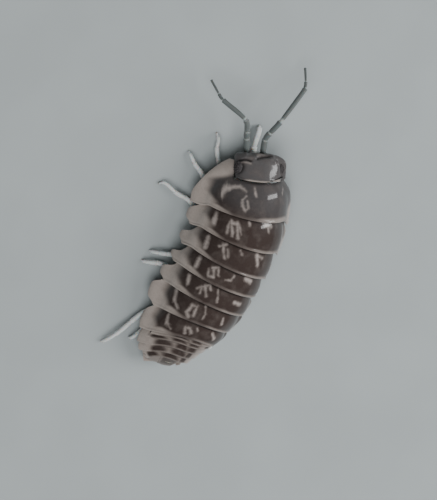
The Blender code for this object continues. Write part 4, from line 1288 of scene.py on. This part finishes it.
class WOODLOUSE_OT_legs(bpy.types.Operator):
    """Seven pairs of walking legs, each of six articles with spines and a claw"""

    bl_idname = "woodlouse.legs"
    bl_label = "Legs"

    def execute(self, context):
        limbs = context.scene.woodlouse_limbs
        finish = limb_cuticle("leg_cuticle", limbs.leg, limbs.leg_joint, roughness=0.38, see_through=0.20)
        horn = limb_cuticle("claw_horn", limbs.claw, limbs.claw, roughness=0.30, see_through=0.0)
        tube = article_tube(ARTICLE_RINGS)
        dice = random.Random(7)
        for side in ("left", "right"):
            for number in TERGITES:
                frames = carried_frames(leg_knots(side, number))
                pieces, start = [], 0.0
                stout = STOUT_LEG if (side, number) == ("right", 1) else 1.0
                for end, radius in LEG_ARTICLES:
                    pieces.append(laid_along(tube, frames, start, end, radius * stout, 1 / stout, LEG_SLIMMER))
                    start = end - LEG_OVERLAP
                for at in np.linspace(*SPINES_AT):
                    radius = np.interp(at, *zip(*LEG_ARTICLES))
                    turn = dice.uniform(*SPINE_TURN)
                    size = limbs.spine / MM * dice.uniform(*SPINE_LENGTH)
                    pieces.append(bristle(frames, at, turn, radius, size, SPINE_THICK))
                leg = joined(pieces)
                finished(leg, f"walking_leg_{side}_{number}", [finish], "leg", f"leg_{side}_{number}")
                finished(claw_at(frames[1]), f"claw_{side}_{number}", [horn], "leg")
        bpy.data.objects.remove(tube)
        return {"FINISHED"}


class WOODLOUSE_OT_antennae(bpy.types.Operator):
    """Pair of feelers: four articles bent at an elbow, and a whip of two with a tip of bristles"""

    bl_idname = "woodlouse.antennae"
    bl_label = "Feelers"

    def execute(self, context):
        limbs = context.scene.woodlouse_limbs
        finish = limb_cuticle(
            "feeler_cuticle", limbs.antenna, limbs.antenna_joint, roughness=0.40, see_through=0.10)
        tube = article_tube(ARTICLE_RINGS)
        dice = random.Random(11)
        forward = -tailward_at(0.0)
        for side, knots in (("left", ANTENNA_LEFT), ("right", ANTENNA_RIGHT)):
            frames = carried_frames(
                [place(0.0, HEAD_LEFT + left, height) + forward * ahead for ahead, left, height in knots])
            pieces, last, last_radius = [], 0.0, 0.0
            for start, end, radius in ANTENNA_ARTICLES:
                if last:
                    joint = laid_along(tube, frames, last - JOINT_REACH, start + JOINT_REACH,
                                       JOINT_RADIUS * min(radius, last_radius))
                    paint(joint, joint=1.0)
                    pieces.append(joint)
                pieces.append(laid_along(tube, frames, start, end, radius))
                last, last_radius = end, radius
            starts, _, radii = zip(*ANTENNA_ARTICLES)
            for at in np.linspace(*BRISTLES_AT):
                radius = np.interp(at, starts, radii)
                pieces.append(bristle(frames, at, dice.uniform(*BRISTLE_TURN), radius, *BRISTLE))
            finished(joined(pieces), f"feeler_{side}", [finish], "antenna", f"antenna_{side}")
        bpy.data.objects.remove(tube)
        return {"FINISHED"}


# Underside

# Belly: faces round and along it, where it starts and ends along the body, the shares of its length at which it
# rounds off, how far it stays inside the back, its share of that width and its least, how far under the back
# and its least top, the height of its middle, of its underside, of the folds between segments and of its rounded
# sides, and how square it is. The first fold lies under the head's rear edge
BELLY_GRID = (96, 260)
FIRST_FOLD = 1.95
BELLY_SPAN = (2.15, 15.95)
BELLY_ROUND = (0.05, 0.93)
BELLY_INSIDE = 0.62
BELLY_WIDTH = 0.95
BELLY_LEAST_WIDTH = 0.2
BELLY_UNDER = 0.66
BELLY_LEAST_TOP = 1.40
BELLY_MIDDLE = 1.42
BELLY_FLOOR = 1.26
BELLY_FOLD = 0.07
BELLY_SIDE = 0.05
BELLY_SQUARE = (0.7, 0.4)

# Gills: pairs, the first one's place and the step to the next, how much narrower each pair is, how far out and
# how high they lie, half sizes of a flap and its squareness, the swelling of its edge, its slope and its arch,
# and its segments and rings
GILL_PAIRS = 5
GILLS_FROM = 14.05
GILL_STEP = 0.36
GILL_NARROWER = 0.10
GILL_OUT = 0.62
GILL_HEIGHT = 0.88
GILL_SIZE = (0.52, 0.42, 0.07)
GILL_SQUARE = (0.8, 0.8, 1.0)
GILL_SWELLS = 0.06
GILL_SLOPE = math.tan(math.radians(14.0))
GILL_ARCH = 0.10
GILL_GRID = (40, 20)

# Jaw-feet: place of each plate along the body, out and up, its half sizes, its segments and rings, and the
# distance whose turn it has; the palp's line as distance, out and up; its articles from share to share with
# their radius, and its flatness
JAW_FOOT_AT = (0.98, 0.27, 0.93)
JAW_FOOT_SIZE = (0.26, 0.44, 0.10)
JAW_FOOT_GRID = (36, 24)
JAW_FOOT_TURNED_AT = 0.95
PALP = ((1.05, 0.42, 0.94), (0.75, 0.46, 0.93), (0.50, 0.40, 0.95), (0.30, 0.28, 1.02))
PALP_ARTICLES = ((0.0, 0.42, 0.13), (0.40, 0.75, 0.10), (0.73, 1.0, 0.065))
PALP_FLAT = 0.7


def segment_wave(distance):
    """1 in the middle of a segment and 0 at its edges."""
    edges = [FIRST_FOLD, COLLAR_FRONT_MIDDLE] + [tergite_edge(n, 0.0) for n in TERGITES]
    edges += [rings[0] for rings in PLEONITES.values()] + [TAIL_END]
    phase = np.interp(distance, edges, range(len(edges)))
    return np.abs(np.sin(math.pi * phase))


class WOODLOUSE_OT_belly(bpy.types.Operator):
    """Soft body under the plates, with a firm bar across each segment of the underside"""

    bl_idname = "woodlouse.belly"
    bl_label = "Belly"

    def execute(self, context):
        skin = context.scene.woodlouse_soft
        sheet, across, along = laid_sheet(*BELLY_GRID)
        first, last = BELLY_SPAN
        distance = first + (last - first) * along
        begins, ends = BELLY_ROUND
        end = round_off(1 - along / begins, 2.0) * round_off((along - ends) / (1 - ends), 2.0)
        end = np.maximum(end, 1e-4)
        cosine, sine = np.cos(math.pi * across), np.sin(math.pi * across)
        top = np.maximum(EDGE_HEIGHT + arch_height(distance) - BELLY_UNDER, BELLY_LEAST_TOP)
        floor = BELLY_FLOOR + BELLY_FOLD * (1 - segment_wave(distance)) - BELLY_SIDE * np.abs(sine)
        sideways, downward = BELLY_SQUARE
        up = (top - BELLY_MIDDLE) * cosine
        down = (floor - BELLY_MIDDLE) * np.abs(cosine) ** downward
        height = BELLY_MIDDLE + np.where(cosine > 0, up, down) * end
        width = np.maximum((half_width(distance) - BELLY_INSIDE) * BELLY_WIDTH, BELLY_LEAST_WIDTH)
        left = width * np.sign(sine) * np.abs(sine) ** sideways * end
        set_corners(sheet, place(distance, -left, height))
        closed(sheet)
        finish = soft_skin("belly_skin", skin.belly, fold=(0.26, 0.22, 0.19))
        finished(sheet, "belly", [finish], "gill", smooth_angle=60)
        return {"FINISHED"}


class WOODLOUSE_OT_gills(bpy.types.Operator):
    """Five pairs of gill flaps under the tail, one behind the other"""

    bl_idname = "woodlouse.gills"
    bl_label = "Gills"

    def execute(self, context):
        skin = context.scene.woodlouse_soft
        finish = soft_skin("gill_skin", skin.gill, fold=(0.52, 0.50, 0.46), see_through=0.4)
        for side, word in ((1, "left"), (-1, "right")):
            flaps = []
            for number in range(GILL_PAIRS):
                narrow = 1 - GILL_NARROWER * number
                at = GILLS_FROM + GILL_STEP * number
                flap, around, _ = ball(*GILL_GRID)
                spots = corners(flap)
                flat = np.sign(spots) * np.abs(spots) ** GILL_SQUARE * GILL_SIZE * (narrow, 1, 1)
                flat[:, 2] += GILL_HEIGHT - GILL_SLOPE * flat[:, 1] + GILL_ARCH * flat[:, 0] ** 2
                flat[:, 1] += GILL_SWELLS * np.cos(3 * around) * np.abs(spots[:, 0])
                set_corners(flap, standing(flat, place(at, side * GILL_OUT * narrow, 0.0), at))
                flaps.append(flap)
            flaps = joined(flaps)
            finished(flaps, f"gill_flaps_{word}", [finish], "gill", f"pleopods_{word}", smooth_angle=60)
        return {"FINISHED"}


class WOODLOUSE_OT_mouth(bpy.types.Operator):
    """Jaw-feet that close the mouth from below, with their palps"""

    bl_idname = "woodlouse.mouth"
    bl_label = "Mouth"

    def execute(self, context):
        skin = context.scene.woodlouse_soft
        finish = soft_skin("mouth_skin", skin.belly, fold=(0.20, 0.17, 0.15))
        tube = article_tube(ARTICLE_RINGS, sides=14)
        parts = []
        for side in (1, -1):
            plate, _, _ = ball(*JAW_FOOT_GRID)
            centre, *line = (
                place(at, HEAD_LEFT + side * out, height) for at, out, height in (JAW_FOOT_AT, *PALP))
            set_corners(plate, standing(corners(plate) * JAW_FOOT_SIZE, centre, JAW_FOOT_TURNED_AT))
            paint(plate, joint=0.0)
            parts.append(plate)
            frames = carried_frames(line)
            for start, end, radius in PALP_ARTICLES:
                parts.append(laid_along(tube, frames, start, end, radius, PALP_FLAT))
        bpy.data.objects.remove(tube)
        finished(joined(parts), "jaw_feet", [finish], "gill", "mouthparts", smooth_angle=60)
        return {"FINISHED"}


# Stage

# Camera's right, up and back in the model's frame, fitted to the photo, then the point at the frame's middle,
# the frame's height in millimetres at the animal, the lens and sensor in millimetres, and the distances between
# which the camera sees and the side of the floor in metres
CAMERA_RIGHT = (-0.8581, -0.4555, 0.2372)
CAMERA_UP = (0.3770, -0.8724, -0.3113)
CAMERA_BACK = (0.3487, -0.1777, 0.9202)
FRAME_MIDDLE = (0.2671, 0.5097, 1.84)
FRAME_HEIGHT = 33.08
LENS = 600.0
SENSOR = 36.0
CLIP = (0.01, 5.0)
FLOOR_SIDE = 1.2
# Lights: direction from the animal, distance and size in millimetres, which power of the stage and what share
# of it, whether the light shines in the gloss, and its roll in degrees
LIGHTS = {
    "window": ((-0.785, -0.475, 0.39), 160, (12, 86), "key", 0.15, True, -12.0),
    "side": ((-0.75, -0.40, 0.62), 170, (120, 120), "key", 1.0, False, 0.0),
    "overhead": ((0.10, 0.30, 1.0), 220, (200, 200), "fill", 1.0, False, 0.0),
}


def soft_light(name, power, direction, distance, size, shines, roll):
    """A rectangular light in millimetres, aimed at the animal, that shines in its gloss or only lights it."""
    lamp = bpy.data.lights.new(name, "AREA")
    lamp.shape = "RECTANGLE"
    lamp.size, lamp.size_y = size[0] * MM, size[1] * MM
    lamp.energy = power
    thing = bpy.data.objects.new(name, lamp)
    direction = Vector(direction).normalized()
    thing.location = (Vector((0.0, 0.0, ARCH_HEIGHT)) + direction * distance) * MM
    turn = direction.to_track_quat("Z", "Y") @ Quaternion((0.0, 0.0, 1.0), math.radians(roll))
    thing.rotation_euler = turn.to_euler()
    thing.visible_glossy = shines
    bpy.context.scene.collection.objects.link(thing)


class WOODLOUSE_OT_stage(bpy.types.Operator):
    """Pale floor, soft studio light and the camera at the photo's view"""

    bl_idname = "woodlouse.stage"
    bl_label = "Floor, lights and camera"

    def execute(self, context):
        sizes = context.scene.woodlouse_stage
        deselect()
        bpy.ops.mesh.primitive_plane_add(size=FLOOR_SIDE)
        floor = bpy.context.object
        floor.name = "floor"
        floor.data.materials.append(plain_floor("painted_board", sizes.floor))
        right, up, back = (Vector(axis) for axis in (CAMERA_RIGHT, CAMERA_UP, CAMERA_BACK))
        lens = bpy.data.cameras.new("camera")
        lens.lens = LENS
        lens.sensor_width = SENSOR
        lens.clip_start, lens.clip_end = CLIP
        camera = bpy.data.objects.new("camera", lens)
        middle = right * FRAME_MIDDLE[0] + up * FRAME_MIDDLE[1] + back * FRAME_MIDDLE[2]
        middle += Vector((*BODY_AT, 0.0))
        location = (middle + back * FRAME_HEIGHT * LENS / SENSOR) * MM
        turn = Matrix((right, up, back)).transposed()
        camera.matrix_world = Matrix.Translation(location) @ turn.to_4x4()
        context.scene.collection.objects.link(camera)
        context.scene.camera = camera
        for name, (direction, distance, size, power, share, shines, roll) in LIGHTS.items():
            soft_light(name, getattr(sizes, power) * share, direction, distance, size, shines, roll)
        world = context.scene.world or bpy.data.worlds.new("room")
        context.scene.world = world
        world.use_nodes = True
        background = world.node_tree.nodes["Background"]
        set_inputs(background, {"Color": sizes.floor, "Strength": sizes.sky})
        return {"FINISHED"}


# The add-on's panel and classes

OPERATORS = (
    WOODLOUSE_OT_back, WOODLOUSE_OT_tail, WOODLOUSE_OT_head, WOODLOUSE_OT_eyes, WOODLOUSE_OT_antennae,
    WOODLOUSE_OT_legs, WOODLOUSE_OT_mouth, WOODLOUSE_OT_gills, WOODLOUSE_OT_belly, WOODLOUSE_OT_stage,
)
SETTINGS = {
    "woodlouse_plates": WoodlousePlates,
    "woodlouse_head": WoodlouseHead,
    "woodlouse_limbs": WoodlouseLimbs,
    "woodlouse_soft": WoodlouseSoft,
    "woodlouse_stage": WoodlouseStage,
}


class WOODLOUSE_PT_panel(bpy.types.Panel):
    """Sizes, colours and pieces of the woodlouse"""

    bl_idname = "WOODLOUSE_PT_panel"
    bl_label = "Woodlouse"
    bl_space_type = "VIEW_3D"
    bl_region_type = "UI"
    bl_category = "Woodlouse"

    def draw(self, context):
        for name, group in SETTINGS.items():
            box = self.layout.box()
            box.label(text=group.__doc__)
            for key in group.__annotations__:
                box.prop(getattr(context.scene, name), key)
        for operator in OPERATORS:
            self.layout.operator(operator.bl_idname)


def register():
    for group in SETTINGS.values():
        bpy.utils.register_class(group)
    for operator in OPERATORS:
        bpy.utils.register_class(operator)
    bpy.utils.register_class(WOODLOUSE_PT_panel)
    for name, group in SETTINGS.items():
        setattr(bpy.types.Scene, name, bpy.props.PointerProperty(type=group))


def unregister():
    for name in SETTINGS:
        delattr(bpy.types.Scene, name)
    bpy.utils.unregister_class(WOODLOUSE_PT_panel)
    for group in (*OPERATORS, *SETTINGS.values()):
        bpy.utils.unregister_class(group)


def main():
    register()
    bpy.ops.woodlouse.back()
    bpy.ops.woodlouse.tail()
    bpy.ops.woodlouse.head()
    bpy.ops.woodlouse.eyes()
    bpy.ops.woodlouse.antennae()
    bpy.ops.woodlouse.legs()
    bpy.ops.woodlouse.mouth()
    bpy.ops.woodlouse.gills()
    bpy.ops.woodlouse.belly()
    bpy.ops.woodlouse.stage()


if __name__ == "__main__":
    main()
